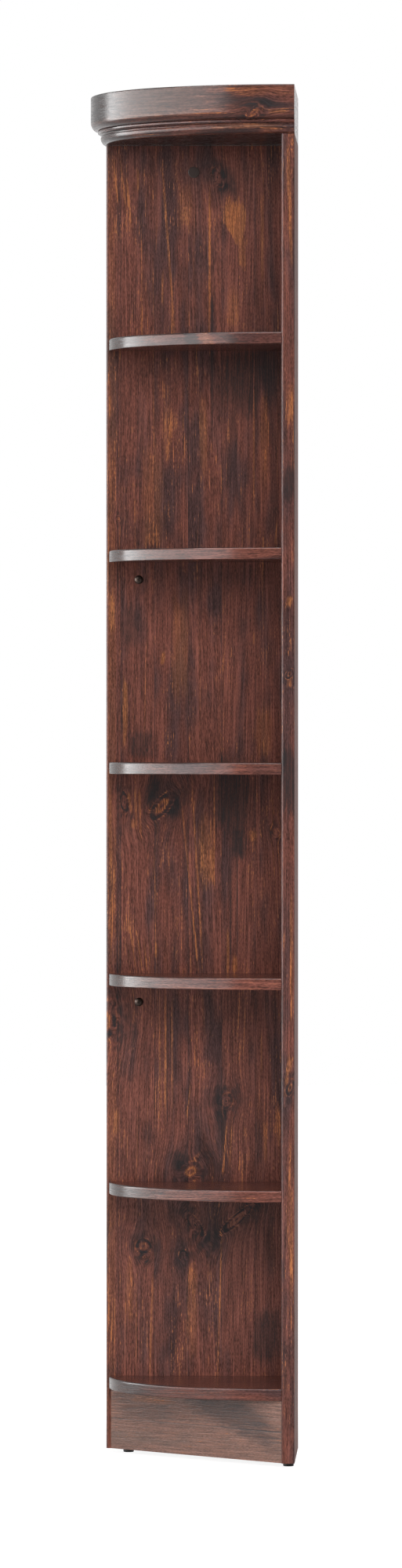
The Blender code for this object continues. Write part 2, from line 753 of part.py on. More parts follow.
def make_plinth():
    """Straight plinth board across the foot of the unit."""
    solid = prism(plinth_corners(), PANEL_BOTTOM, PANEL_BOTTOM + PLINTH_HEIGHT)
    plinth = add_object("plinth_board", solid, STAINED_EDGE)
    cut(plinth, "bores", [(dowel_hole(), matrix) for matrix in plinth_dowel_matrices()])


def make_top_board():
    """Board on the panels, whose edge is a cove over a bead."""
    start = OVOLO_WIDTH + BEAD_STEP
    cove_end = (start + COVE_RADIUS, COVE_RADIUS)
    bead_end = (cove_end[0] + BEAD_WIDTH, TOP_BOARD_THICKNESS)
    profile = [(start, 0)]
    profile += quarter_curve((start, 0), cove_end, EDGE_STEPS, bulge=False)
    profile += quarter_curve(cove_end, bead_end, MOULDING_STEPS, bulge=True)
    path = quarter_round_path(OUTER, PANEL_THICKNESS, FASCIA_RADIUS)
    board = add_object("top_board", moulded_board(path, OUTER, profile, TOP_BOARD_TOP),
                       STAINED_EDGE)
    bores = [(dowel_hole(), top_dowel_matrix(upright)) for upright in ALONG]
    bores += [bolt_pilot_hole(upright) for upright in ALONG]
    cut(board, "bores", bores + cornice_screw_holes())


def make_cornice():
    """Thick cornice board: an upright fascia over an ovolo and a fillet."""
    radius = FASCIA_EDGE_RADIUS
    ovolo_end = (OVOLO_WIDTH, FASCIA_HEIGHT + OVOLO_HEIGHT)
    profile = [(radius, 0)]
    for step in range(1, EDGE_STEPS + 1):
        angle = math.pi / 2 * step / EDGE_STEPS
        profile.append((radius * (1 - math.sin(angle)), radius * (1 - math.cos(angle))))
    profile.append((0, FASCIA_HEIGHT))
    profile += quarter_curve((0, FASCIA_HEIGHT), ovolo_end, MOULDING_STEPS, bulge=True)
    profile.append((OVOLO_WIDTH, ovolo_end[1] + FILLET_HEIGHT))
    path = quarter_round_path(OUTER, PANEL_THICKNESS, FASCIA_RADIUS)
    board = add_object("cornice_board", moulded_board(path, OUTER, profile, CORNICE_TOP),
                       STAINED_EDGE)
    cut(board, "bores", cornice_screw_holes())


def main():
    """Builds the unit from the uprights outwards."""
    clear_scene()
    make_panel("wide", INNER - GAP)
    make_panel("side", OUTER)
    make_shelves()
    make_plinth()
    make_top_board()
    make_cornice()
    make_shelf_screws()
    make_dowels()
    for upright in ALONG:
        make_cam(upright)
        make_cam_bolt(upright)
        make_cam_cap(upright)
    make_cornice_screws()
    make_connector_bolts()
    make_glides()


main()
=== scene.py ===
"""Looks of the shelf end unit: fine boards, stained pine, fittings, floor, camera and studio light.

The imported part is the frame. Its two uprights, its plinth and its cams stay and get their finishes.
Every other piece is a finer surface that stands where the frame's node stands. Lengths are in
metres, +Z is up, and each piece has its place in its mesh.
"""

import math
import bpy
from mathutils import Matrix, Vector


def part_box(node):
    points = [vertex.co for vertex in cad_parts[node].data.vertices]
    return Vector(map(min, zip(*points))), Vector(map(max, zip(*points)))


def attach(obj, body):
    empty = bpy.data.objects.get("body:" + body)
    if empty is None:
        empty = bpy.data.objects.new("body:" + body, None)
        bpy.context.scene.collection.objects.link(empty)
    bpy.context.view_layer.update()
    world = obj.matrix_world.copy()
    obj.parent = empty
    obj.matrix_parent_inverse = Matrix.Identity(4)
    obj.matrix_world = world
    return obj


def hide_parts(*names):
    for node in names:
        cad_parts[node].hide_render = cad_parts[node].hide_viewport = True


bl_info = {
    "name": "Shelf End Unit",
    "version": (1, 0, 0),
    "blender": (4, 5, 0),
    "location": "View3D > Sidebar > Shelf End",
    "description": "Builds and finishes a quarter-round shelf end unit in stained pine",
    "category": "Object",
}

from typing import NamedTuple

import bpy
import numpy as np
from bpy.props import FloatProperty, FloatVectorProperty, PointerProperty
from mathutils import Vector

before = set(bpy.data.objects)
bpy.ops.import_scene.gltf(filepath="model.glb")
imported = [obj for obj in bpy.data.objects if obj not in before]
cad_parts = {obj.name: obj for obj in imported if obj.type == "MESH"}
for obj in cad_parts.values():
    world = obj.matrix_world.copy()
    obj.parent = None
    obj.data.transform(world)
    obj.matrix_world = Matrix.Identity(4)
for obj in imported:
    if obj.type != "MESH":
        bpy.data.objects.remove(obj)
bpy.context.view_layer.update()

# Places that the frame gives: the uprights' inner and outer faces and free edges, and the boxes
# of both boards of the cornice
WIDE_LOW, WIDE_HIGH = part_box("wide_panel")
INNER = WIDE_LOW.y
OUTER = WIDE_HIGH.y
FREE = WIDE_LOW.x
CORNICE_LOW, CORNICE_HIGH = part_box("cornice_board")
FASCIA_RADIUS = INNER - CORNICE_LOW.x
TOP_BOARD_LOW, TOP_BOARD_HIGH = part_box("top_board")

SHELVES = ("bottom_shelf", "shelf_1", "shelf_2", "shelf_3", "shelf_4", "shelf_5")
UPRIGHTS = ("side", "wide")
UP = Vector((0, 0, 1))
OUTWARD = {"side": Vector((1, 0, 0)), "wide": Vector((0, 1, 0))}
OUTWARD_AXIS = {"side": 0, "wide": 1}

# Fineness of the surfaces: steps round a front edge, an arris and a moulding, round a turned
# piece, and of a thread in one turn
ARC_STATIONS = 96
EDGE_STATIONS = 6
MOULDING_STATIONS = 12
ROUND_STATIONS = 64
THREAD_STATIONS = 8
WELD = 1e-6
SHARP_ANGLE = math.radians(32)
GRAIN = "Grain"

# Where the maps of flat faces start along the grain, clear of the marks on a front edge; those of
# undersides start at twice that
FLATS = 1.0

# Play between pieces that touch
GAP = 0.0003

# Where the uprights' first whole stave starts, how deep the pine's grain is, and how much finer
# the roughness of metal and plastic is than its clouds
FIRST_STAVE = 0.0227
GRAIN_DEPTH = 0.00006
FINER = 9.0

# Where the marks on an upright's free edge fade away behind it, where its outer face's thin coat
# starts and ends, how much rougher that is, and how far the painted sheen fades across on both sides
EDGE_FADE = (0.003, 0.012)
FACE_START = 0.0015
FACE_END = 0.0002
FACE_DULLNESS = 0.36
PAINTED_SHEEN_INSIDE = 0.002
PAINTED_SHEEN_OUTSIDE = 0.004

# Small bevel on the edges of heads and caps, and how much deeper a recess is at its middle
BEVEL = 0.0002
POINTED = 1.2


def length(name, description, default):
    """Property for a length in metres."""
    return FloatProperty(name=name, description=description, default=default, unit="LENGTH",
                         min=0.0, precision=5)


def share(name, description, default):
    """Property for a share between nothing and all."""
    return FloatProperty(name=name, description=description, default=default, subtype="FACTOR",
                         min=0.0, max=1.0)


def colour(name, description, default):
    """Property for a linear colour."""
    return FloatVectorProperty(name=name, description=description, default=(*default, 1.0),
                               subtype="COLOR", size=4, min=0.0, max=1.0)


def watts(name, description, default):
    """Property for the power of a lamp in watts."""
    return FloatProperty(name=name, description=description, default=default, unit="POWER",
                         min=0.0)


def point(name, description, default):
    """Property for a point in the part's frame."""
    return FloatVectorProperty(name=name, description=description, default=default,
                               subtype="TRANSLATION", unit="LENGTH")


class ShelfEndBoards(bpy.types.PropertyGroup):
    """Edges and mouldings of the boards."""

    shelf_edge: length("Shelf Edge", "Rounding of the upper arris of each shelf", 0.0025)
    shelf_foot: length("Shelf Foot", "Rounding of the lower arris of each shelf", 0.0009)
    guard: length("Guard Row", "Width of the flat strip beside each rounding", 0.0005)
    fascia_edge: length("Fascia Edge", "Rounding of the top arris of the cornice", 0.0018)
    fascia_height: length("Fascia Height", "Height of the upright face of the cornice", 0.0395)
    ovolo_height: length("Ovolo Height", "Height of the quarter round below the fascia", 0.0132)
    ovolo_width: length("Ovolo Width", "How far the quarter round turns in", 0.011)
    fillet: length("Fillet", "How far the fillet below the ovolo stands out", 0.0020)
    fillet_edge: length("Fillet Edge", "Rounding of the fillet's arrises", 0.0009)
    quirk: length("Quirk", "Height of the undercut below the fillet", 0.0012)
    bead_step: length("Bead Step", "Step from the fillet in to the top board", 0.0033)
    cove: length("Cove", "Radius of the hollow at the top of the top board", 0.003)
    bead_width: length("Bead Width", "How far the bead of the top board turns in", 0.008)
    bead_nose: length("Bead Nose", "How far the bead stands out below the hollow", 0.0018)


class ShelfEndStain(bpy.types.PropertyGroup):
    """Colours and figure of the stained pine."""

    brown: colour("Brown", "Stain on ordinary grain", (0.136, 0.047, 0.034))
    plum: colour("Plum", "Stain where the grain drinks more", (0.066, 0.031, 0.029))
    # The dark stain below also paints the shade of the darkest marks, such as the top board's
    # underside
    ink_and_shade: colour("Ink", "Stain round knots and in dark patches", (0.021, 0.0165, 0.0170))
    # Grey painted sheen, mixed into the stain where the coat would reflect the lamp on the left
    painted_sheen: colour("Bloom", "Grey brown of end grain and thinly stained edges",
                  (0.150, 0.098, 0.076))
    orange: colour("Orange", "Bare latewood where the stain was brushed off", (0.360, 0.125, 0.045))
    tan: colour("Tan", "Thinly stained wood in rubbed patches", (0.310, 0.116, 0.045))
    stave_width: length("Stave Width", "Width of each glued-up stave", 0.0527)
    ring_width: length("Ring Width", "Usual distance between two rings on a face", 0.0082)
    roughness: share("Roughness", "Roughness of the satin coat", 0.20)
    gloss: share("Gloss", "Strength of the coat's mirror reflection", 0.10)


class ShelfEndFittings(bpy.types.PropertyGroup):
    """Sizes and colours of the screws, dowels, cams, caps and glides."""

    steel: colour("Browned Steel", "Screws and connector bolts", (0.030, 0.020, 0.016))
    zinc: colour("Zinc", "Cams and their bolts", (0.560, 0.550, 0.520))
    beech: colour("Beech", "Bare dowels", (0.520, 0.330, 0.180))
    fleck: colour("Fleck", "Flecks in the bare dowels", (0.300, 0.150, 0.070))
    cap: colour("Cap", "Caps over the cams", (0.034, 0.022, 0.019))
    glide: colour("Glide", "Plastic glides under the uprights", (0.018, 0.017, 0.017))
    socket: length("Hex Socket", "Half the width of the socket across its flats", 0.002)
    socket_depth: length("Socket Depth", "Depth of the hexagonal socket", 0.0022)
    head_height: length("Head Height", "Height of the countersunk screw head", 0.003)
    shank: length("Shank Radius", "Radius of the plain shank of a shelf screw", 0.0035)
    shank_length: length("Shank Length", "Head and plain shank together", 0.014)
    core: length("Core Radius", "Core of the shelf screw's thread", 0.0025)
    thread_pitch: length("Thread Pitch", "Rise of the shelf screw's thread in one turn", 0.003)
    cross_span: length("Cross Span", "Reach of the cross recess from tip to tip", 0.0052)
    cross_width: length("Cross Width", "Width of one arm of the cross recess", 0.0011)
    cross_depth: length("Cross Depth", "Depth of the cross recess", 0.0016)


class ShelfEndStage(bpy.types.PropertyGroup):
    """Camera, floor and lamps."""

    camera_place: point("Camera Place", "Where the camera stands", (0.413, -13.508, 1.140))
    camera_target: point("Camera Target", "Point that the camera looks at",
                         (0.0103, 0.142, 1.0465))
    lens: FloatProperty(name="Lens", description="Focal length in millimetres", default=200.4,
                        unit="CAMERA", min=1.0)
    ambient: share("Ambient", "Light that comes evenly from all round", 0.27)
    floor: colour("Floor", "Pale floor", (0.78, 0.78, 0.78))
    key_power: watts("Key Lamp", "Power of the far front lamp", 515.0)
    low_power: watts("Low Lamp", "Power of the low front lamp", 2.6)
    left_power: watts("Left Lamp", "Power of the soft left lamp", 70.0)
    back_power: watts("Back Lamp", "Power of the lamp behind", 190.0)
    sheen_power: watts("Sheen Lamp", "Power of the left lamp that only the coat reflects", 2360.0)
    arris_power: watts("Arris Lamp", "Power of the high lamp that only the coat reflects", 1200.0)


class Mark(NamedTuple):
    """A streak or patch in a board: orange where the tone is above nothing, dark below."""

    across: float
    along: float
    half_width: float
    half_length: float
    slant: float
    tone: float
    softness: float = 0.6


class Knot(NamedTuple):
    """A knot in a board, with how light its rings are and how dark its rim and surround are."""

    across: float
    along: float
    half_width: float
    half_length: float
    slant: float
    rings: float
    rim: float
    surround: float


class Bloom(NamedTuple):
    """Painted sheen, a grey mixed into the stain where the grain starts, standing in for the coat's
    reflection of the lamp on the left: its strength, where along the grain it starts and stops to
    fade, and how far across it reaches."""

    strength: float = 0.0
    fade_start: float = 0.0
    fade_end: float = 1.0
    reach: float = 1.0


class Coat(NamedTuple):
    """What sets one board's pine apart: the seed of its random numbers, how pale its stain is, how
    strongly its rings show, and its painted sheen."""

    seed: float
    paleness: float = 0.0
    lines: float = 1.0
    painted_sheen: Bloom = Bloom()


class Field:
    """A number at each point of a surface: the output of a material node, with arithmetic."""

    def __init__(self, tree, socket):
        self.tree = tree
        self.socket = socket

    def math(self, operation, *others, clamp=False):
        """Result of a math node on this field and others."""
        return math_node(self.tree, operation, (self, *others), clamp)

    def clamped(self):
        """This field, kept between nothing and one."""
        return self.math("ADD", 0.0, clamp=True)

    def __add__(self, other):
        return self.math("ADD", other)

    def __sub__(self, other):
        return self.math("SUBTRACT", other)

    def __rsub__(self, other):
        return math_node(self.tree, "SUBTRACT", (other, self))

    def __mul__(self, other):
        return self.math("MULTIPLY", other)

    def __truediv__(self, other):
        return self.math("DIVIDE", other)

    __radd__ = __add__
    __rmul__ = __mul__


def math_node(tree, operation, values, clamp=False):
    """Math node fed with fields or numbers."""
    node = tree.nodes.new("ShaderNodeMath")
    node.operation = operation
    node.use_clamp = clamp
    for socket, value in zip(node.inputs, values):
        feed(tree, socket, value)
    return Field(tree, node.outputs["Value"])


def feed(tree, socket, value):
    """Links a field to a socket, or sets the socket to a value."""
    if isinstance(value, Field):
        tree.links.new(value.socket, socket)
    else:
        socket.default_value = value


def ramp(field, low, high):
    """Nothing below low, one above high, with a smooth rise between them."""
    node = field.tree.nodes.new("ShaderNodeMapRange")
    node.interpolation_type = "SMOOTHSTEP"
    feed(field.tree, node.inputs["Value"], field)
    node.inputs["From Min"].default_value = low
    node.inputs["From Max"].default_value = high
    return Field(field.tree, node.outputs["Result"])


def bell(field, width):
    """One at nothing, falling away smoothly on both sides within about the given width."""
    scaled = field / width
    return (scaled * scaled * -1.0).math("EXPONENT")


def joined(across, depth, along):
    """Vector field from three fields."""
    node = across.tree.nodes.new("ShaderNodeCombineXYZ")
    for socket, value in zip(node.inputs, (across, depth, along)):
        feed(across.tree, socket, value)
    return Field(across.tree, node.outputs["Vector"])


def noise(place, scale, scale_along, detail=0.0, kind="Fac"):
    """Soft noise on a vector field, with one scale per metre across the grain and through the
    board, and another along the grain."""
    tree = place.tree
    stretch = tree.nodes.new("ShaderNodeVectorMath")
    stretch.operation = "MULTIPLY"
    feed(tree, stretch.inputs[0], place)
    stretch.inputs[1].default_value = (scale, scale, scale_along)
    node = tree.nodes.new("ShaderNodeTexNoise")
    node.inputs["Scale"].default_value = 1.0
    node.inputs["Detail"].default_value = detail
    tree.links.new(stretch.outputs["Vector"], node.inputs["Vector"])
    return Field(tree, node.outputs[kind])


def chance(field):
    """Even random number from 0 to 1 for each value of a field."""
    node = field.tree.nodes.new("ShaderNodeTexWhiteNoise")
    node.noise_dimensions = "1D"
    feed(field.tree, node.inputs["W"], field)
    return Field(field.tree, node.outputs["Value"])


def mixed(share_field, first, second):
    """Colour that goes from the first to the second as the share goes from 0 to 1."""
    tree = share_field.tree
    node = tree.nodes.new("ShaderNodeMix")
    node.data_type = "RGBA"
    colours = [socket for socket in node.inputs if socket.type == "RGBA"]
    feed(tree, node.inputs["Factor"], share_field)
    feed(tree, colours[0], first)
    feed(tree, colours[1], second)
    return Field(tree, next(socket for socket in node.outputs if socket.type == "RGBA"))


def brightened(plain, factor):
    """Colour, a field or three numbers, times a field."""
    tree = factor.tree
    node = tree.nodes.new("ShaderNodeVectorMath")
    node.operation = "SCALE"
    feed(tree, node.inputs["Vector"], plain)
    feed(tree, node.inputs["Scale"], factor)
    return Field(tree, node.outputs["Vector"])


def parts_of(field):
    """The three components of a vector field."""
    node = field.tree.nodes.new("ShaderNodeSeparateXYZ")
    feed(field.tree, node.inputs["Vector"], field)
    return [Field(field.tree, socket) for socket in node.outputs]


def object_place(tree):
    """X, Y and Z on the piece, in the part's frame."""
    node = tree.nodes.new("ShaderNodeTexCoord")
    return parts_of(Field(tree, node.outputs["Object"]))


def grain_place(tree):
    """Across and along the grain, from the piece's own map."""
    node = tree.nodes.new("ShaderNodeUVMap")
    node.uv_map = GRAIN
    across, along, _ = parts_of(Field(tree, node.outputs["UV"]))
    return across, along


def new_group(name, inputs, outputs):
    """Empty node group, with its inputs as fields, from names and defaults, and its exit node."""
    group = bpy.data.node_groups.new(name, "ShaderNodeTree")
    for label, default in inputs.items():
        socket = group.interface.new_socket(label, in_out="INPUT", socket_type="NodeSocketFloat")
        socket.default_value = default
    for label, kind in outputs.items():
        group.interface.new_socket(label, in_out="OUTPUT", socket_type=kind)
    entry = group.nodes.new("NodeGroupInput")
    way_out = group.nodes.new("NodeGroupOutput")
    return group, {label: Field(group, entry.outputs[label]) for label in inputs}, way_out


def use_group(tree, group, values):
    """Places a group in a material, fed with values by name, and returns its outputs as fields."""
    node = tree.nodes.new("ShaderNodeGroup")
    node.node_tree = group
    for label, value in values.items():
        feed(tree, node.inputs[label], value)
    return {socket.name: Field(tree, socket) for socket in node.outputs}


def leaning_reach(given):
    """Lean of a point from a slanted axis, then in half widths, and its rise in half lengths."""
    rise = given["Along"] - given["Centre Along"]
    lean = given["Across"] - given["Centre Across"] - rise * given["Slant"]
    return lean, lean / given["Half Width"], rise / given["Half Length"]


SPOT_INPUTS = {"Tone": 0.0, "Across": 0.0, "Along": 0.0, "Centre Across": 0.0,
               "Centre Along": 0.0, "Half Width": 0.01, "Half Length": 0.01, "Slant": 0.0}


def mark_group():
    """A mark paints its strength over the tone so far, inside a rounded box with soft edges.

    The reach of a point is the fourth root of the sum of the fourth powers of its lean in half
    widths and its rise in half lengths.
    """
    found = bpy.data.node_groups.get("Mark")
    if found:
        return found
    group, given, way_out = new_group(
        "Mark", {**SPOT_INPUTS, "Shake Across": 0.0, "Shake Along": 0.0, "Strength": 1.0,
                 "Softness": 0.6}, {"Tone": "NodeSocketFloat"})
    _, wide, tall = leaning_reach(given)
    wide, tall = wide + given["Shake Across"], tall + given["Shake Along"]
    wide, tall = wide * wide, tall * tall
    reach = (wide * wide + tall * tall).math("POWER", 0.25)
    inside = 1.0 - ((reach - 1.0) / given["Softness"] + 0.5).clamped()
    smooth = inside * inside * (3.0 - inside * 2.0)
    tone = given["Tone"]
    feed(group, way_out.inputs["Tone"], tone + (given["Strength"] - tone) * smooth)
    return group


def knot_group():
    """A knot: a ringed core, dark crescents, a broken light arc, a dark surround, bent grain.

    The reach of a point is the root of the sum of the squares of its lean in half widths and its
    rise in half lengths, shaken by noise. The core is inside 0.6, the crescents between there and
    the arc at 1, and the surround beyond. The grain's place across is drawn back towards the
    knot's axis by most of the lean, outside the core and fading with the reach, so that lines
    bulge round the knot.
    """
    found = bpy.data.node_groups.get("Knot")
    if found:
        return found
    group, given, way_out = new_group(
        "Knot", {**SPOT_INPUTS, "Rings": 1.0, "Rim": 1.0, "Surround": 0.5},
        {"Tone": "NodeSocketFloat", "Sway": "NodeSocketFloat"})
    lean, wide, tall = leaning_reach(given)
    place = joined(given["Across"], 0.0, given["Along"])
    cloud = noise(place, 150.0, 110.0, 1.0)
    grit = noise(place, 900.0, 900.0, 1.0)
    reach = (wide * wide + tall * tall).math("SQRT")
    shaken = reach * (0.87 + cloud * 0.26)
    core = 1.0 - ramp(shaken, 0.52, 0.66)
    rings = ((reach + cloud * 0.22) * 17.0).math("SINE") * 0.24 + 0.36 + (grit - 0.5) * 0.8
    heart = 1.0 - ramp(reach, 0.06, 0.16)
    crescent = ramp(shaken, 0.50, 0.66) * (1.0 - ramp(shaken, 0.88, 1.0))
    dark_side = ramp(noise(place, 95.0, 70.0), 0.38, 0.58)
    arc = bell(shaken - 1.0, 0.10) * ramp(noise(place, 120.0, 45.0), 0.42, 0.60)
    beyond = ramp(shaken, 0.90, 1.06) * bell(shaken, 2.1)
    tone = given["Tone"] * ramp(shaken, 0.85, 1.10)
    tone = tone + core * (rings * given["Rings"] - heart * given["Rim"])
    tone = tone - crescent * (dark_side * 0.60 + 0.40) * given["Rim"] + arc * 0.65
    tone = tone - beyond * given["Surround"] * (0.35 + dark_side * 0.9)
    feed(group, way_out.inputs["Tone"], tone)
    feed(group, way_out.inputs["Sway"], lean * bell(reach, 2.2) * ramp(reach, 0.3, 1.2) * -0.80)
    return group


def spot_values(across, along, spot):
    """Inputs that a mark and a knot share, for the point and the spot's centre, size and slant."""
    return {"Across": across, "Along": along, "Centre Across": spot.across,
            "Centre Along": spot.along, "Half Width": spot.half_width,
            "Half Length": spot.half_length, "Slant": spot.slant}


def figure(tree, across, along, marks, knots):
    """Tone and sway of all the marks and knots of a board, each painted over those before it.

    Soft noise shakes each mark by a share of its own size, so that outlines are uneven.
    """
    place = joined(across, 0.0, along)
    shake_across, shake_along, _ = parts_of(noise(place, 260.0, 34.0, 3.0, "Color"))
    shake_across, shake_along = (shake_across - 0.5) * 1.1, (shake_along - 0.5) * 1.5
    tone, sway = across * 0.0, across * 0.0
    for mark in marks:
        tone = use_group(tree, mark_group(), {
            **spot_values(across, along, mark), "Tone": tone, "Strength": mark.tone,
            "Softness": mark.softness, "Shake Across": shake_across,
            "Shake Along": shake_along})["Tone"]
    for knot in knots:
        result = use_group(tree, knot_group(), {
            **spot_values(across, along, knot), "Tone": tone, "Rings": knot.rings,
            "Rim": knot.rim, "Surround": knot.surround})
        tone, sway = result["Tone"], sway + result["Sway"]
    return tone, sway


def rings_of(given, place, leaning, stave, first):
    """Late wood lines, the hollows beside them, and how strong each ring's line is.

    Rings are the fraction of a warped place across, counted in ring widths. The late wood is a
    thin line near a ring's end and the hollow lies at its start. A soft mask hides both in places.
    """
    stain = bpy.context.scene.shelf_end_stain
    meander = noise(place, 5.0, 1.6, 1.0) - 0.5
    wobble = noise(place, 16.0, 3.0, 1.0) - 0.5
    warped = leaning * 0.9 + given["Depth"] * 0.45 + meander * 0.050
    phase = warped / stain.ring_width + first * 9.0 + wobble * 0.7
    number = phase.math("FLOOR")
    ring = phase - number
    seen = ramp(noise(place, 26.0, 5.5, 1.0), 0.49, 0.62)
    late = ramp(ring, 0.76, 0.90) * (1.0 - ramp(ring, 0.92, 0.99))
    trough = 1.0 - ramp(ring, 0.05, 0.25)
    strength = ramp(chance(number + stave * 13.1 + given["Seed"]), 0.25, 0.95)
    return late * seen, trough * seen, strength


def stain_body(given, place, first, fine, grit):
    """Stain on the early wood: plum to brown in broad clouds, grey where a sheen is painted, and
    lighter or darker with the fibres, with thin light hairs and with dim patches."""
    stain = bpy.context.scene.shelf_end_stain
    cloud = noise(place, 44.0, 4.2, 2.0)
    blotch = noise(place, 24.0, 13.0, 2.0) - 0.5
    shade = cloud + blotch * 0.6 + (first - 0.5) * 0.14 + given["Paleness"] * 0.25
    body = mixed(ramp(shade, 0.27, 0.59), tuple(stain.plum), tuple(stain.brown))
    # Painted sheen: grey mixed into the stain where the coat would reflect the lamp on the left
    body = mixed(given["Bloom"], body, tuple(stain.painted_sheen))
    hair = ramp(noise(place, 400.0, 6.0), 0.56, 0.70)
    patch = ramp(noise(place, 19.0, 6.0, 1.5), 0.62, 0.78)
    light = 0.60 + fine * 0.54 + grit * 1.15 + hair * 0.42 + given["Paleness"] * 0.5
    return brightened(body, light * (1.0 - patch * 0.34))


def pine_group():
    """Stained and brushed pine, glued up from staves, in fields of the place on a board.

    Each stave draws its own random numbers, which shift and lean all its noise, and its joints
    are dark. Fine noise, stretched along the grain, makes the fibres, and finer grit breaks them
    up. Where fibres, rubbed clusters and late wood lines add up high enough the wood is bare and
    warm. Pores, joints and the hollows of rings take the dark stain. A tone above nothing adds
    bare wood, and one below adds the dark stain, which for some marks is painted shade.
    """
    found = bpy.data.node_groups.get("Stained pine")
    if found:
        return found
    stain = bpy.context.scene.shelf_end_stain
    group, given, way_out = new_group("Stained pine", {
        "Across": 0.0, "Depth": 0.0, "Along": 0.0, "First Stave": 0.0, "Seed": 0.0,
        "Tone": 0.0, "Sway": 0.0, "Paleness": 0.0, "Lines": 1.0, "Bloom": 0.0,
    }, {"Color": "NodeSocketColor", "Roughness": "NodeSocketFloat", "Height": "NodeSocketFloat"})
    across, depth, along, lines = (given[name] for name in ("Across", "Depth", "Along", "Lines"))

    count = (across - given["First Stave"]) / stain.stave_width
    stave = count.math("FLOOR")
    first = chance(stave + given["Seed"])
    second = chance(stave * 1.7 + given["Seed"] + 31.0)
    joint = ramp((count - stave - 0.5).math("ABSOLUTE"), 0.485, 0.497)
    leaning = across + given["Sway"] + along * (second - 0.5) * 0.05
    place = joined(leaning + first * 3.0, depth + second * 5.0, along + first * 31.0)

    late, trough, strength = rings_of(given, place, leaning, stave, first)
    grit = noise(place, 950.0, 190.0, 1.0) - 0.5
    grain = noise(place, 700.0, 22.0, 2.0) + grit * 0.35
    fine = ramp(grain, 0.34, 0.66)
    body = stain_body(given, place, first, fine, grit)

    tone_up = given["Tone"].math("MAXIMUM", 0.0)
    tone_down = (given["Tone"] * -1.0).math("MAXIMUM", 0.0)
    line = late * strength
    cluster = noise(place, 30.0, 6.5, 1.0) - 0.5
    rubbed = line * 0.18 + cluster * 0.46 - 0.010
    bare = ramp(grain + rubbed * lines + tone_up * 0.25 - tone_down * 0.35, 0.68, 0.76)
    bare = bare.math("MAXIMUM", line * lines * (0.20 + fine * 0.35) * (1.0 - tone_down))
    warm = mixed(ramp(noise(place, 60.0, 9.0), 0.35, 0.65), tuple(stain.tan),
                 tuple(stain.orange))
    warm = brightened(warm, 0.66 + fine * 0.34 + grit)
    pore = 1.0 - ramp(grain + tone_up * 0.2, 0.29, 0.37)
    # Share of dark stain: pores, joints, ring hollows, and the painted shade of dark marks
    ink_and_shade_share = (tone_down * (1.12 - fine * 0.24) + pore * 0.36 + joint * 0.60
             + trough * 0.16 * lines).clamped()
    coloured = mixed(ink_and_shade_share, mixed(tone_up * 0.62, body, warm), tuple(stain.ink_and_shade))
    coloured = mixed(bare * (0.92 - ink_and_shade_share * 0.4), coloured, warm)

    feed(group, way_out.inputs["Color"], coloured)
    feed(group, way_out.inputs["Roughness"],
         stain.roughness + (0.5 - fine) * 0.10 + ink_and_shade_share * 0.04)
    feed(group, way_out.inputs["Height"], fine * 0.6 + late * 0.3 - joint * 0.6)
    return group


def new_material(name, viewport_colour):
    """Empty node material with a Principled shader, and its tree and shader."""
    material = bpy.data.materials.new(name)
    material.use_nodes = True
    material.diffuse_color = viewport_colour
    tree = material.node_tree
    return material, tree, tree.nodes["Principled BSDF"]


def set_bump(tree, shader, height, depth):
    """Raises the surface by a height field, in metres at a height of one."""
    bump = tree.nodes.new("ShaderNodeBump")
    bump.inputs["Strength"].default_value = 1.0
    bump.inputs["Distance"].default_value = depth
    feed(tree, bump.inputs["Height"], height)
    tree.links.new(bump.outputs["Normal"], shader.inputs["Normal"])


class Layout(NamedTuple):
    """Where a board's grain runs: its fields across the staves, through the board and along, the
    marks' field across, where the first stave starts, where marks show, and how much a thin coat
    adds to the roughness."""

    across: Field
    depth: Field
    along: Field
    marks_across: Field
    first_stave: float = -1.0
    marks_share: Field | float = 1.0
    dullness: Field | float = 0.0


def wide_panel_layout(tree):
    """Grain upright, staves side by side along X, counted from the free edge."""
    x, y, z = object_place(tree)
    return Layout(x - FREE, y - INNER, z, x - FREE, FIRST_STAVE)


def side_panel_layout(tree):
    """Grain upright, staves side by side along Y; its marks lie on the free edge, across X.

    The outer face, which goes against a cabinet, has a thin dull coat.
    """
    x, y, z = object_place(tree)
    edge = 1.0 - ramp(y - FREE, *EDGE_FADE)
    dullness = ramp(x, OUTER - FACE_START, OUTER - FACE_END) * FACE_DULLNESS
    return Layout(y - FREE, x - INNER, z, x - INNER, FIRST_STAVE, edge, dullness)


def plinth_layout(tree):
    """Grain level, along the board's face."""
    x, y, z = object_place(tree)
    return Layout(z, (x + y) / math.sqrt(2), (x - y) / math.sqrt(2), z)


def map_layout(tree):
    """Grain along the map's second direction."""
    across, along = grain_place(tree)
    return Layout(across, across * 0.0, along, across)


def stained_pine(name, layout, coat, marks=(), knots=()):
    """Stained pine for one board, from its layout, its coat, its marks and its knots.

    The painted sheen is its strength, times one less a smooth rise where it fades along the
    grain, times one less a short smooth rise where its reach across ends.
    """
    stain = bpy.context.scene.shelf_end_stain
    material, tree, shader = new_material(name, tuple(stain.brown))
    board, painted_sheen = layout(tree), coat.painted_sheen
    tone, sway = figure(tree, board.marks_across, board.along, marks, knots)
    # Share of the grey painted sheen at each point
    kept = 1.0 - ramp(board.across, painted_sheen.reach - PAINTED_SHEEN_INSIDE, painted_sheen.reach + PAINTED_SHEEN_OUTSIDE)
    kept = (1.0 - ramp(board.along, painted_sheen.fade_start, painted_sheen.fade_end)) * kept
    wood = use_group(tree, pine_group(), {
        "Across": board.across, "Depth": board.depth, "Along": board.along,
        "First Stave": board.first_stave, "Seed": coat.seed,
        "Tone": tone * board.marks_share, "Sway": sway * board.marks_share,
        "Paleness": coat.paleness, "Lines": coat.lines, "Bloom": kept * painted_sheen.strength})
    feed(tree, shader.inputs["Base Color"], wood["Color"])
    feed(tree, shader.inputs["Roughness"], wood["Roughness"] + board.dullness)
    shader.inputs["Specular IOR Level"].default_value = stain.gloss
    set_bump(tree, shader, wood["Height"], GRAIN_DEPTH)
    return material
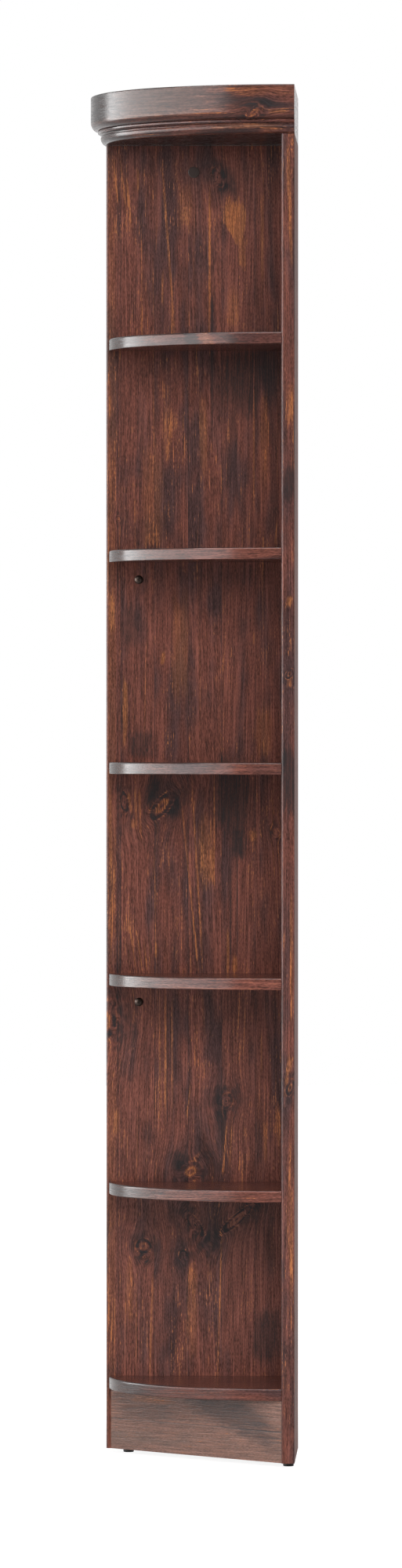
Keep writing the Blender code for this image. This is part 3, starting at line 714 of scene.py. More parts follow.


# What sets each board's pine apart. The last part of a coat is its painted sheen: a grey that
# stands in for the coat's reflection of the lamp on the left, over the plinth and towards the
# left ends of the shelves and the cornice's boards
COATS = {
    "wide_panel": Coat(3.0),
    "side_panel": Coat(21.0),
    "plinth_board": Coat(47.0, 0.76, 0.30, Bloom(0.60, 0.50, 1.00)),
    **{shelf: Coat(60.0 + 7.0 * number, 0.04, 0.60, Bloom(0.55, 0.02, 0.30))
       for number, shelf in enumerate(SHELVES)},
    "top_board": Coat(112.0, -0.30, 0.60, Bloom(0.30, 0.05, 0.20)),
    "cornice_board": Coat(131.0, -0.10, 0.55, Bloom(0.55, 0.28, 0.46, 0.045)),
}

# Knots and marks of each board, in metres across and along its grain as its layout gives them.
# Each is painted over those before it, and its name only tells where it lies.
WIDE_PANEL_KNOTS = {
    "top_bay": Knot(0.174, 1.995, 0.008, 0.016, -0.35, -0.4, 0.9, 0.6),
    "eye": Knot(0.087, 1.012, 0.015, 0.024, 0.6, 1, 0.9, 0.45),
    "crescent": Knot(0.028, 1.018, 0.0068, 0.019, -0.1, -0.7, 1, 0.55),
    "round": Knot(0.058, 0.323, 0.013, 0.013, 0, 0.7, 1, 0.55),
    "companion": Knot(0.0595, 0.306, 0.005, 0.005, 0, 0.5, 1, 0.6),
    "small_dark": Knot(0.1205, 0.309, 0.0076, 0.0095, 0, -0.5, 1, 0.7),
    "vee": Knot(0.1395, 0.356, 0.0105, 0.019, -0.55, -1, 1, 0.65),
    "lens": Knot(0.204, 0.365, 0.012, 0.024, 1, 0.5, 1, 0.7),
    "orange": Knot(0.1322, 0.44, 0.018, 0.017, 0.3, 1.5, 0.5, 0.7),
    "bay_four": Knot(0.188, 0.55, 0.011, 0.0135, 0.2, -0.8, 0.9, 0.75),
    "bay_four_left": Knot(-0.003, 0.674, 0.02, 0.033, 0.15, 1.5, 1, 0.7),
    "bay_one": Knot(0.0189, 1.462, 0.004, 0.005, 0, 0.6, 0.6, 0.35),
    "tick": Knot(0.264, 0.972, 0.0065, 0.009, -0.3, 0.35, 0.5, 0.6),
}

WIDE_PANEL_MARKS = {
    "left_strip": Mark(0.008, 1.02, 0.007, 1.1, 0, 0.22),
    "eye_ink_left": Mark(0.074, 1.0403, 0.011, 0.023, 0.1, -0.72, 0.9),
    "eye_ink_right": Mark(0.107, 1.009, 0.011, 0.017, 0.3, -0.72, 0.9),
    "left_joint": Mark(0.018, 1.02, 0.001, 1.1, 0, -0.45, 0.8),
    "crescent_light": Mark(0.037, 1.017, 0.0022, 0.017, -0.15, 0.8),
    "crescent_light_two": Mark(0.046, 1.01, 0.0018, 0.03, -0.05, 0.75),
    "crescent_light_three": Mark(0.053, 1, 0.0016, 0.042, -0.03, 0.7),
    "crescent_light_low": Mark(0.042, 0.984, 0.003, 0.007, 0, 0.9),
    "bay_three_shadow": Mark(0.196, 1.028, 0.027, 0.056, 0, -0.74, 0.9),
    "bay_three_shadow_foot": Mark(0.206, 0.956, 0.0105, 0.024, 0, -0.85, 0.7),
    "bay_one_shadow": Mark(0.225, 1.68, 0.048, 0.054, 0, -0.6, 0.8),
    "bay_five_shadow": Mark(0.252, 0.181, 0.021, 0.037, 0.1, -0.6, 0.7),
    "top_bay_shadow": Mark(0.188, 1.99, 0.014, 0.02, -0.2, -0.55, 0.9),
    "top_bay_dark_line": Mark(0.1655, 1.725, 0.0018, 0.11, 0, -0.75),
    "bay_three_dark_line": Mark(0.1945, 0.844, 0.0014, 0.09, 0, -0.7, 0.7),
    "bay_three_dark_line_two": Mark(0.205, 0.85, 0.0013, 0.086, 0, -0.65, 0.7),
    "bay_three_foot_orange": Mark(0.2015, 0.764, 0.004, 0.012, 0, 0.7, 0.8),
    "bay_three_flame": Mark(0.0415, 0.79, 0.0009, 0.035, -0.15, 0.65, 0.8),
    "bay_three_flame_two": Mark(0.052, 0.785, 0.0009, 0.034, -0.15, 0.65, 0.8),
    "bay_three_flame_three": Mark(0.062, 0.775, 0.001, 0.026, -0.12, 0.6, 0.8),
    "top_bay_tan": Mark(0.2013, 1.921, 0.016, 0.038, 0, 0.95, 0.3),
    "top_bay_tan_cut": Mark(0.186, 1.903, 0.011, 0.033, -0.6, 0, 0.2),
    "top_bay_tan_foot": Mark(0.212, 1.876, 0.0055, 0.018, 0, 0.55, 0.9),
    "top_bay_line": Mark(0.1617, 1.862, 0.0016, 0.112, 0, 1),
    "top_bay_slant": Mark(0.097, 1.886, 0.0017, 0.122, -0.075, 0.6, 0.8),
    "top_bay_blush": Mark(0.1243, 1.949, 0.01, 0.03, 0, 0.35, 0.9),
    "top_bay_tick": Mark(0.0495, 1.99, 0.0015, 0.017, 0, 0.8),
    "top_left_one": Mark(0.0152, 1.987, 0.001, 0.036, -0.1, 0.65, 0.8),
    "top_left_two": Mark(0.027, 1.981, 0.0012, 0.037, -0.12, 0.6, 0.8),
    "top_left_three": Mark(0.035, 1.96, 0.0016, 0.033, -0.1, 0.5, 0.8),
    "top_right_line": Mark(0.244, 1.892, 0.0022, 0.07, 0, 0.6, 0.8),
    "top_low_one": Mark(0.088, 1.82, 0.0015, 0.027, 0, 0.7, 0.8),
    "top_low_two": Mark(0.1025, 1.77, 0.0018, 0.03, 0, 0.65, 0.8),
    "top_low_three": Mark(0.198, 1.79, 0.009, 0.028, 0, 0.45, 0.9),
    "bay_one_band": Mark(0.053, 1.58, 0.004, 0.09, 0, -0.22, 0.9),
    "bay_one_band_two": Mark(0.199, 1.594, 0.005, 0.056, 0, -0.28, 0.9),
    "bay_one_band_four": Mark(0.264, 1.55, 0.007, 0.095, 0, -0.28, 0.9),
    "bay_one_low_left": Mark(0.072, 1.434, 0.013, 0.015, 0, 0.45, 0.8),
    "bay_one_edge": Mark(0.006, 1.637, 0.002, 0.014, 0, 0.65, 0.7),
    "bay_one_tan": Mark(0.1515, 1.607, 0.0055, 0.035, 0, 0.45, 0.8),
    "bay_one_tan_two": Mark(0.096, 1.6, 0.0055, 0.048, 0, 0.25, 0.9),
    "bay_one_low_slant": Mark(0.2655, 1.438, 0.001, 0.018, 0.1, 0.8),
    "bay_one_line": Mark(0.231, 1.587, 0.0012, 0.098, 0, 0.65, 0.8),
    "bay_one_blush": Mark(0.247, 1.585, 0.0075, 0.073, 0, 0.35, 0.9),
    "bay_one_scratches": Mark(0.1526, 1.586, 0.005, 0.051, 0, 0.45, 0.9),
    "bay_one_left": Mark(0.073, 1.494, 0.015, 0.067, 0, 0.3, 0.9),
    "bay_two_blush": Mark(0.116, 1.26, 0.011, 0.075, 0, 0.42, 0.9),
    "bay_two_edge": Mark(0.0079, 1.3157, 0.0045, 0.03, 0, 0.5, 0.8),
    "bay_two_strip": Mark(0.0295, 1.1568, 0.0038, 0.05, 0, 0.7, 0.5),
    "bay_two_dark": Mark(0.0383, 1.2956, 0.012, 0.032, 0, -0.55, 0.9),
    "bay_two_dark_foot": Mark(0.0533, 1.108, 0.019, 0.02, 0, -0.6, 0.9),
    "bay_two_spot": Mark(0.0889, 1.243, 0.0032, 0.0085, 0.1, 0.85, 0.7),
    "bay_two_right": Mark(0.247, 1.1287, 0.012, 0.036, 0, 0.42, 0.9),
    "bay_two_tick": Mark(0.231, 1.274, 0.001, 0.01, 0, 0.8),
    "bay_three_slant_dark": Mark(0.1275, 0.892, 0.0012, 0.137, -0.1, -0.4, 0.8),
    "bay_three_slant": Mark(0.1305, 0.892, 0.0012, 0.137, -0.1, 0.62, 0.8),
    "bay_three_slant_two": Mark(0.1415, 0.924, 0.0015, 0.122, -0.06, 0.6, 0.8),
    "bay_three_tan": Mark(0.1563, 0.942, 0.011, 0.049, 0, 0.5, 0.8),
    "bay_three_tan_foot": Mark(0.164, 0.918, 0.005, 0.022, 0, 0.7, 0.8),
    "bay_three_joint": Mark(0.169, 0.985, 0.0009, 0.083, 0, 0.85),
    "bay_three_low": Mark(0.1906, 0.783, 0.0018, 0.033, 0, 0.9),
    "bay_three_tick": Mark(0.0778, 0.788, 0.0015, 0.012, 0, 0.95),
    "bay_three_edge": Mark(0.0067, 0.973, 0.002, 0.074, -0.02, 0.65, 0.8),
    "bay_three_right": Mark(0.2286, 0.966, 0.006, 0.008, 0, 0.5, 0.9),
    "bay_four_line": Mark(0.0925, 0.63, 0.0014, 0.105, 0, 0.7, 0.7),
    "bay_four_line_two": Mark(0.103, 0.62, 0.0012, 0.08, 0, 0.6, 0.7),
    "bay_four_line_dark": Mark(0.0955, 0.62, 0.0012, 0.115, 0, -0.6, 0.8),
    "bay_four_line_three": Mark(0.0835, 0.615, 0.0011, 0.095, 0, 0.5, 0.7),
    "bay_four_slant": Mark(0.1285, 0.547, 0.001, 0.024, 0.1, 0.8),
    "bay_four_ink": Mark(0.18, 0.53, 0.008, 0.05, 0, -0.45, 0.9),
    "bay_four_foot": Mark(0.186, 0.479, 0.0013, 0.04, 0.08, 0.7, 0.7),
    "bay_four_foot_two": Mark(0.195, 0.485, 0.0012, 0.037, 0.05, 0.65, 0.7),
    "bay_four_flame": Mark(0.141, 0.461, 0.003, 0.01, 0.5, 0.75, 0.7),
    "bay_four_dark": Mark(0.115, 0.456, 0.012, 0.016, -0.5, -0.45, 0.9),
    "bay_four_right": Mark(0.243, 0.624, 0.0012, 0.03, 0, 0.65, 0.8),
    "bay_four_right_two": Mark(0.249, 0.49, 0.003, 0.026, 0, 0.55, 0.9),
    "bay_four_right_three": Mark(0.269, 0.51, 0.003, 0.028, 0, 0.55, 0.9),
    "bay_four_edge": Mark(0.015, 0.52, 0.006, 0.02, 0, 0.4, 0.9),
    "bay_five_middle": Mark(0.1342, 0.237, 0.0075, 0.073, 0, 0.38, 0.9),
    "bay_five_line": Mark(0.0705, 0.2, 0.0013, 0.074, 0.03, 0.65, 0.8),
    "bay_five_right_line": Mark(0.1783, 0.262, 0.0013, 0.098, 0.03, 0.65, 0.8),
    "bay_five_left": Mark(0.0361, 0.262, 0.006, 0.05, 0, 0.35, 0.9),
}

SIDE_EDGE_KNOTS = {
    "top": Knot(0.016, 2.031, 0.0045, 0.011, 0, 0.6, 0.8, 0.6),
    "middle": Knot(0.012, 1.217, 0.006, 0.0085, 0.3, 0.45, 0.8, 0.5),
    "low": Knot(0.0135, 0.583, 0.006, 0.014, 0.25, 1.1, 1, 0.8),
}

SIDE_EDGE_MARKS = {
    "bay_one_orange": Mark(0.013, 1.63, 0.005, 0.025, 0, 0.5, 0.8),
    "bay_one_ink": Mark(0.012, 1.51, 0.01, 0.024, 0.1, -0.75, 0.8),
    "bay_two_orange": Mark(0.012, 1.328, 0.004, 0.008, 0.2, 0.7, 0.7),
    "bay_two_orange_low": Mark(0.013, 1.209, 0.0045, 0.011, 0.1, 0.7, 0.7),
    "top_orange": Mark(0.012, 1.95, 0.0025, 0.09, -0.03, 0.7, 0.7),
    "bay_three_dark": Mark(0.01, 1.056, 0.011, 0.052, 0, -0.75, 0.5),
    "low_knot_orange": Mark(0.008, 0.595, 0.0028, 0.032, 0.1, 0.75),
    "low_knot_streak": Mark(0.014, 0.616, 0.0022, 0.012, 0.2, 0.8),
    "low_orange": Mark(0.015, 0.79, 0.002, 0.09, 0, 0.55, 0.8),
    "foot_orange": Mark(0.015, 0.34, 0.0022, 0.09, 0, 0.55, 0.8),
}

PLINTH_MARKS = {
    "dark_left": Mark(0.078, -0.115, 0.022, 0.06, -0.05, -0.34, 0.7),
    "ink_right": Mark(0.082, 0.07, 0.026, 0.11, -0.32, -0.66, 0.8),
    "tan": Mark(0.088, -0.1, 0.006, 0.05, 0, 0.55, 0.8),
}

CORNICE_KNOTS = {
    "fascia": Knot(0.044, 0.456, 0.01, 0.014, -0.6, 0.9, 0.8, 0.55),
}

CORNICE_MARKS = {
    # The first two marks make the fascia darker towards its left end, beneath the grey painted sheen
    "dark_left_wash": Mark(0.02, 0.17, 0.022, 0.235, 0, -0.55, 0.25),
    "dark_left": Mark(0.02, 0.07, 0.022, 0.125, 0, -0.9, 0.3),
    # Painted shade: the ovolo mark darkens the quarter round, which turns down into shade
    "ovolo": Mark(0.054, 0.25, 0.008, 0.4, 0, -0.4, 0.4),
    "ink_band": Mark(0.029, 0.455, 0.008, 0.052, 0.14, -0.55, 0.8),
    "orange_top": Mark(0.011, 0.465, 0.008, 0.05, 0.02, 0.28, 0.9),
    "orange_foot": Mark(0.042, 0.49, 0.005, 0.018, 0, 0.35, 0.9),
}

TOP_BOARD_MARKS = {
    # Painted shade: the first mark darkens the top board's underside, which lies in shade under the
    # cornice
    "painted_shade_underside": Mark(0, 2 * FLATS, 0.5, 0.45, 0, -0.75, 0.1),
    "dark_left": Mark(0.008, 0.07, 0.04, 0.12, 0, -0.65, 0.8),
    "orange_right": Mark(0.009, 0.44, 0.006, 0.05, 0, 0.45, 0.8),
    "ink_right": Mark(0.016, 0.4, 0.005, 0.06, 0, -0.6),
}

SHELF_SHADE = Mark(0.009, 0.07, 0.02, 0.13, 0, -0.6, 0.7)
SHELF_MIDDLE_SHADE = Mark(0.009, 0.255, 0.02, 0.09, 0, -0.3, 0.9)

SHELF_MARKS = {
    "shelf_5": {
        "ink_and_shade": Mark(0.01, 0.285, 0.012, 0.014, 0.6, -0.85, 0.5),
        "orange": Mark(0.011, 0.312, 0.01, 0.013, 0.6, 0.35),
        "ink_right": Mark(0.006, 0.342, 0.007, 0.02, 0.5, -0.6),
    },
}


def plain_finish(name, base, roughness, metallic, scale, depth, contrast):
    """Metal or plastic with soft uneven colour, uneven gloss and a fine rough surface.

    The clouds have the given scale per metre, and the surface's roughness is finer, as deep as
    the depth. Both shift the colour by up to half the contrast.
    """
    material, tree, shader = new_material(name, tuple(base))
    place = joined(*object_place(tree))
    cloud = noise(place, scale, scale, 3.0)
    grit = noise(place, scale * FINER, scale * FINER, 2.0)
    shaded = (cloud - 0.5) * contrast + (grit - 0.5) * contrast + 1.0
    feed(tree, shader.inputs["Base Color"], brightened(tuple(base)[:3], shaded))
    feed(tree, shader.inputs["Roughness"], roughness + (cloud - 0.5) * 0.25)
    shader.inputs["Metallic"].default_value = metallic
    shader.inputs["Specular IOR Level"].default_value = 0.5 if metallic else 0.15
    set_bump(tree, shader, grit, depth)
    return material


def beech(name):
    """Bare beech with short dark flecks along the grain."""
    fittings = bpy.context.scene.shelf_end_fittings
    material, tree, shader = new_material(name, tuple(fittings.beech))
    place = joined(*object_place(tree))
    flecks = ramp(noise(place, 900.0, 260.0, 1.0), 0.56, 0.68)
    tone = noise(place, 120.0, 60.0, 2.0)
    flecked = mixed(flecks * 0.45, tuple(fittings.beech), tuple(fittings.fleck))
    feed(tree, shader.inputs["Base Color"], brightened(flecked, 0.75 + tone * 0.5))
    shader.inputs["Roughness"].default_value = 0.7
    set_bump(tree, shader, flecks, 0.00005)
    return material


def fitting_finish(name):
    """Finish of a record slot other than pine, made once and shared.

    Each is a colour, a roughness, how metallic it is, the scale of its clouds, the depth of its
    rough surface and the contrast of its colour.
    """
    label = name + "_finish"
    found = bpy.data.materials.get(label)
    if found:
        return found
    if name == "raw_beech":
        return beech(label)
    fittings = bpy.context.scene.shelf_end_fittings
    finishes = {
        "browned_steel": (fittings.steel, 0.42, 0.85, 420.0, 0.00002, 0.7),
        "zinc_steel": (fittings.zinc, 0.34, 1.0, 600.0, 0.00001, 0.25),
        "brown_plastic": (fittings.cap, 0.50, 0.0, 900.0, 0.00003, 0.35),
        "black_plastic": (fittings.glide, 0.52, 0.0, 700.0, 0.00003, 0.5),
    }
    return plain_finish(label, *finishes[name])


def face_loops(patches, polygons, starts, welded):
    """Points round every face, one face after another, and how many each face has.

    The faces of a patch are the squares between its rows and columns. A side without length is
    left out, and so is a square with two such sides.
    """
    squares = []
    for (patch, _), start in zip(patches, starts):
        index = np.arange(patch.shape[0] * patch.shape[1]).reshape(patch.shape[:2]) + start
        corners = (index[:-1, :-1], index[1:, :-1], index[1:, 1:], index[:-1, 1:])
        squares.append(np.stack(corners, axis=-1).reshape(-1, 4))
    squares = np.concatenate(squares)
    keep = welded[squares] != np.roll(welded[squares], -1, axis=1)
    keep[keep.sum(axis=1) < 3] = False
    totals = keep.sum(axis=1)
    loops, totals = squares[keep], totals[totals > 0]
    for (loop, _), start in zip(polygons, starts[len(patches):]):
        loops = np.concatenate([loops, np.arange(start, start + len(loop))])
        totals = np.append(totals, len(loop))
    return loops, totals


def check_closed(name, here, after, count):
    """Stops unless every edge, given by its ends' numbers, is used once in each direction."""
    forward, backward = here * count + after, after * count + here
    if len(np.unique(forward)) != len(forward) or not np.array_equal(
            np.sort(forward), np.sort(backward)):
        raise RuntimeError(f"{name} is not closed")


def mesh_of(name, points, corners, loop_starts, totals, grains):
    """Smooth mesh with sharp folds, from points, the faces' corners and the corners' map."""
    mesh = bpy.data.meshes.new(name)
    mesh.vertices.add(len(points))
    mesh.vertices.foreach_set("co", points.astype(np.float32).ravel())
    mesh.loops.add(len(corners))
    mesh.loops.foreach_set("vertex_index", corners.astype(np.int32))
    mesh.polygons.add(len(totals))
    mesh.polygons.foreach_set("loop_start", loop_starts.astype(np.int32))
    mesh.polygons.foreach_set("loop_total", totals.astype(np.int32))
    mesh.uv_layers.new(name=GRAIN).data.foreach_set("uv", grains.astype(np.float32).ravel())
    mesh.update(calc_edges=True)
    if mesh.validate():
        raise RuntimeError(f"{name} holds a face that Blender refuses")
    mesh.shade_smooth()
    mesh.set_sharp_from_angle(angle=SHARP_ANGLE)
    return mesh


def closed_mesh(name, patches, polygons=()):
    """Mesh of grid patches and flat polygons that close on each other.

    A patch is its points, rows by columns by 3, and its grain map, rows by columns by 2. Seen
    from outside, its rows run down and its columns run to the right. A polygon is its points and
    its map in order. Corners at one place become one vertex, and a square whose side has no
    length becomes a triangle. The mesh is turned over if it encloses less than nothing.
    """
    points = [patch.reshape(-1, 3) for patch, _ in patches] + [loop for loop, _ in polygons]
    grains = [grain.reshape(-1, 2) for _, grain in patches] + [grain for _, grain in polygons]
    starts = np.cumsum([0] + [len(group) for group in points])
    points, grains = np.concatenate(points), np.concatenate(grains)
    places = np.round(points / WELD).astype(np.int64)
    _, first, welded = np.unique(places, axis=0, return_index=True, return_inverse=True)
    welded, points = welded.ravel(), points[first]
    loops, totals = face_loops(patches, polygons, starts, welded)
    loop_starts = np.concatenate([[0], np.cumsum(totals)[:-1]])
    corners = welded[loops]
    following = np.arange(1, len(loops) + 1)
    following[loop_starts + totals - 1] = loop_starts
    check_closed(name, corners, corners[following], len(points))
    owner = np.repeat(loop_starts, totals)
    apex, here, after = (points[rows] for rows in (corners[owner], corners, corners[following]))
    volume = np.einsum("ij,ij->i", apex, np.cross(here, after)).sum()
    if volume < 0:
        order = 2 * owner + np.repeat(totals, totals) - 1 - np.arange(len(loops))
        loops, corners = loops[order], corners[order]
    return mesh_of(name, points, corners, loop_starts, totals, grains[loops])


def add_piece(node, mesh, finish):
    """Links a mesh as the piece that stands for a node of the frame."""
    piece = bpy.data.objects.new(mesh.name, mesh)
    bpy.context.scene.collection.objects.link(piece)
    mesh.materials.append(finish)
    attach(piece, "root")
    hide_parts(node)


def dress(node, finish):
    """Gives a node of the frame its finish and leaves its shape as it is."""
    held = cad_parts[node]
    if not held.material_slots:
        raise RuntimeError(f"{node} has no material slot")
    for slot in held.material_slots:
        slot.link = "OBJECT"
        slot.material = finish


def quarter(start, end, stations, bulge):
    """Quarter ellipse from one profile point to another, without the first.

    The insets and drops follow a quarter turn: a bulging curve leaves the start downwards, by one
    less the cosine and the sine, and a hollow one leaves it inwards, by the sine and one less the
    cosine.
    """
    turn = np.linspace(0, np.pi / 2, stations + 1)[1:]
    shares = (1 - np.cos(turn), np.sin(turn))
    inset_share, drop_share = shares if bulge else shares[::-1]
    return np.stack([start[0] + (end[0] - start[0]) * inset_share,
                     start[1] + (end[1] - start[1]) * drop_share], axis=-1)


def profile_of(*pieces):
    """One array of (inset, drop) points from single points and curves."""
    return np.concatenate([np.atleast_2d(np.asarray(piece, float)) for piece in pieces])


def rounded_top(radius, guard):
    """Arris at the top of a profile: from the cap, round a quarter turn, to just down the face."""
    return profile_of((radius, 0), quarter((radius, 0), (0, radius), EDGE_STATIONS, False)[:-1],
                      (0, radius), (0, radius + guard))


def front_edge_path(corner, lead, radius):
    """Plan points, outward normals and running length round a quarter-round front edge.

    The arc's points lie one radius from a centre that is one lead inside the corner, and a
    straight lead joins each end of the arc to the board's flat sides.
    """
    centre = corner - lead
    turn = np.linspace(0, np.pi / 2, ARC_STATIONS + 1)
    normals = -np.stack([np.cos(turn), np.sin(turn)], axis=-1)
    normals[0], normals[-1] = (-1, 0), (0, -1)
    points = centre + radius * normals
    if lead:
        points = np.concatenate([[(centre - radius, corner)], points, [(corner, centre - radius)]])
        normals = np.concatenate([normals[:1], normals, normals[-1:]])
    steps = np.linalg.norm(np.diff(points, axis=0), axis=1)
    return points, normals, np.concatenate([[0], np.cumsum(steps)])


def carried(profile, path, top):
    """Profile carried along a path: each point is the path's point less its normal times the inset,
    at the top less the drop."""
    points, normals, _ = path
    plan = points[None] - normals[None] * profile[:, 0, None, None]
    heights = np.broadcast_to((top - profile[:, 1])[:, None, None], (*plan.shape[:2], 1))
    return np.concatenate([plan, heights], axis=-1)


def fronted_board(name, profile, path, corner, top, guard):
    """Board with flat top, bottom and back sides, and a profile carried round its front edge.

    The front is a grid. Round the top and the bottom runs a narrow flat strip, so that the
    rounding's shading ends there. The map follows the front's length and the profile's length,
    and on the flat faces the grain runs along X.
    """
    front = carried(profile, path, top)
    run = np.linalg.norm(np.diff(profile, axis=0), axis=1)
    depth = np.concatenate([[0], np.cumsum(run)])
    front_grain = np.stack(np.broadcast_arrays(depth[:, None], path[2][None, :]), axis=-1)
    upper = carried(profile_of((profile[0, 0] + guard, profile[0, 1])), path, top)[0]
    lower = carried(profile_of((profile[-1, 0] + guard, profile[-1, 1])), path, top)[0]
    upper_strip, lower_strip = np.stack([upper, front[0]]), np.stack([front[-1], lower])
    corner_top = np.array([[corner, corner, upper[0, 2]]])
    corner_bottom = np.array([[corner, corner, lower[0, 2]]])
    caps = [np.concatenate([upper, corner_top]), np.concatenate([lower, corner_bottom])[::-1]]
    ends = []
    for column, order in ((0, -1), (-1, 1)):
        loop = np.concatenate([upper[None, column], front[:, column], lower[None, column],
                               corner_bottom, corner_top])
        ends.append(loop[::order])
    patches = [(front, front_grain)]
    starts = ((0, FLATS), (0, 2 * FLATS))
    patches += [(strip, strip[..., [1, 0]] + start)
                for strip, start in zip((upper_strip, lower_strip), starts)]
    polygons = [(loop, loop[:, [1, 0]] + start) for loop, start in zip(caps, starts)]
    polygons += [(loop, np.stack([loop[:, 2], loop[:, 0] + loop[:, 1] + FLATS], axis=-1))
                 for loop in ends]
    return closed_mesh(name, patches, polygons)


def turned_patch(rows, columns, point, direction):
    """Surface turned round an axis: row i stands at its radius and height for each angle.

    Radii and heights are numbers or arrays over the angle. The axis starts at the point and runs
    along the direction.
    """
    angle = np.linspace(0, 2 * np.pi, columns + 1)
    radius = np.stack([np.broadcast_to(row[0], angle.shape) for row in rows])
    height = np.stack([np.broadcast_to(row[1], angle.shape) for row in rows])
    grid = np.stack([radius * np.cos(angle), radius * np.sin(angle), height], axis=-1)
    grid[:, -1] = grid[:, 0]
    turn = np.array(UP.rotation_difference(direction).to_matrix())
    return grid @ turn.T + np.array(point)


def add_turned(node, rows, columns, point, direction, slot):
    """Closed turned piece that stands for a node. Its first and last rows lie on the axis."""
    grid = turned_patch(rows, columns, point, direction)
    mesh = closed_mesh(node + "_surface", [(grid, grid[..., :2])])
    add_piece(node, mesh, fitting_finish(slot))


def hexagon(columns, apothem):
    """Radius of a hexagon at each angle: the apothem over the cosine of the angle to its flat."""
    angle = np.linspace(0, 2 * np.pi, columns + 1)
    sixth = np.pi / 3
    return apothem / np.cos((angle + sixth / 2) % sixth - sixth / 2)


def cross(columns, span, width):
    """Radius of a cross at each angle: the arm's tip over the cosine of the angle to its axis, or
    the arm's flank over the sine, whichever is nearer."""
    angle = np.linspace(0, 2 * np.pi, columns + 1)
    quarter_turn = np.pi / 2
    off_axis = np.abs((angle + quarter_turn / 2) % quarter_turn - quarter_turn / 2)
    flank = width / 2 / np.maximum(np.sin(off_axis), WELD)
    return np.minimum(span / 2 / np.cos(off_axis), flank)


def thread_rows(start, end, core, crest, pitch, columns):
    """Rows of a screw thread: the radius swings from core to crest as the height in pitches runs
    ahead of the turn, and the swing dies away over one pitch at both ends."""
    turn = np.linspace(0, 1, columns + 1)
    turn[-1] = 0
    rows = []
    stations = max(2, round((end - start) / pitch * THREAD_STATIONS))
    for height in np.linspace(start, end, stations):
        swing = 0.5 + 0.5 * np.cos(2 * np.pi * (height / pitch - turn))
        fade = min(1.0, (height - start) / pitch, (end - height) / pitch)
        rows.append((core + (crest - core) * fade * swing ** 3, height))
    return rows


def middle(node):
    """Centre of a node's box."""
    low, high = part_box(node)
    return (low + high) / 2


def extent(node, axis):
    """Size of a node's box along one axis."""
    low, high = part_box(node)
    return high[axis] - low[axis]


def below(node, height):
    """Point under the middle of a node's box, at a height."""
    centre = middle(node)
    return Vector((centre.x, centre.y, height))


def quarter_turn_steps():
    """Angles from nothing to a quarter turn, for a rounded edge."""
    return np.linspace(0, np.pi / 2, EDGE_STATIONS + 1)


class SHELFEND_OT_panels(bpy.types.Operator):
    """Finish both uprights in stained knotty pine"""

    bl_idname = "shelf_end.panels"
    bl_label = "Finish Uprights"
    bl_options = {"REGISTER", "UNDO"}

    def execute(self, context):
        dress("wide_panel", stained_pine("wide_panel_pine", wide_panel_layout,
                                         COATS["wide_panel"], WIDE_PANEL_MARKS.values(),
                                         WIDE_PANEL_KNOTS.values()))
        dress("side_panel", stained_pine("side_panel_pine", side_panel_layout,
                                         COATS["side_panel"], SIDE_EDGE_MARKS.values(),
                                         SIDE_EDGE_KNOTS.values()))
        return {"FINISHED"}


class SHELFEND_OT_plinth(bpy.types.Operator):
    """Finish the plinth board with level grain"""

    bl_idname = "shelf_end.plinth"
    bl_label = "Finish Plinth"
    bl_options = {"REGISTER", "UNDO"}

    def execute(self, context):
        dress("plinth_board", stained_pine("plinth_pine", plinth_layout, COATS["plinth_board"],
                                           PLINTH_MARKS.values()))
        return {"FINISHED"}


class SHELFEND_OT_shelves(bpy.types.Operator):
    """Build the six quarter-round shelves with rounded arrises"""

    bl_idname = "shelf_end.shelves"
    bl_label = "Build Shelves"
    bl_options = {"REGISTER", "UNDO"}

    def execute(self, context):
        boards = context.scene.shelf_end_boards
        arris = rounded_top(boards.shelf_edge, boards.guard)
        foot = rounded_top(boards.shelf_foot, boards.guard)[::-1]
        for node in SHELVES:
            low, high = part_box(node)
            bottom = np.stack([foot[:, 0], high.z - low.z - foot[:, 1]], axis=-1)
            path = front_edge_path(high.x, 0.0, high.x - low.x)
            mesh = fronted_board(node + "_surface", profile_of(arris, bottom), path, high.x,
                                 high.z, boards.guard)
            marks = [SHELF_MIDDLE_SHADE, SHELF_SHADE, *SHELF_MARKS.get(node, {}).values()]
            finish = stained_pine(node + "_pine", map_layout, COATS[node], marks)
            add_piece(node, mesh, finish)
        return {"FINISHED"}


class SHELFEND_OT_top_board(bpy.types.Operator):
    """Build the top board, whose edge is a cove over a bead"""

    bl_idname = "shelf_end.top_board"
    bl_label = "Build Top Board"
    bl_options = {"REGISTER", "UNDO"}

    def execute(self, context):
        boards = context.scene.shelf_end_boards
        start = (boards.ovolo_width + boards.bead_step, 0)
        cove_end = (start[0] + boards.cove, boards.cove)
        shoulder = boards.bead_nose * 1.6
        bead_side = (cove_end[0] - boards.bead_nose, boards.cove + shoulder)
        bead_end = (cove_end[0] + boards.bead_width, TOP_BOARD_HIGH.z - TOP_BOARD_LOW.z)
        profile = profile_of(start, quarter(start, cove_end, EDGE_STATIONS, False),
                             quarter(cove_end, bead_side, EDGE_STATIONS, False),
                             quarter(bead_side, bead_end, MOULDING_STATIONS, True))
        path = front_edge_path(OUTER, OUTER - INNER, FASCIA_RADIUS)
        mesh = fronted_board("top_board_surface", profile, path, OUTER, TOP_BOARD_HIGH.z,
                             boards.guard)
        finish = stained_pine("top_board_pine", map_layout, COATS["top_board"],
                              TOP_BOARD_MARKS.values())
        add_piece("top_board", mesh, finish)
        return {"FINISHED"}


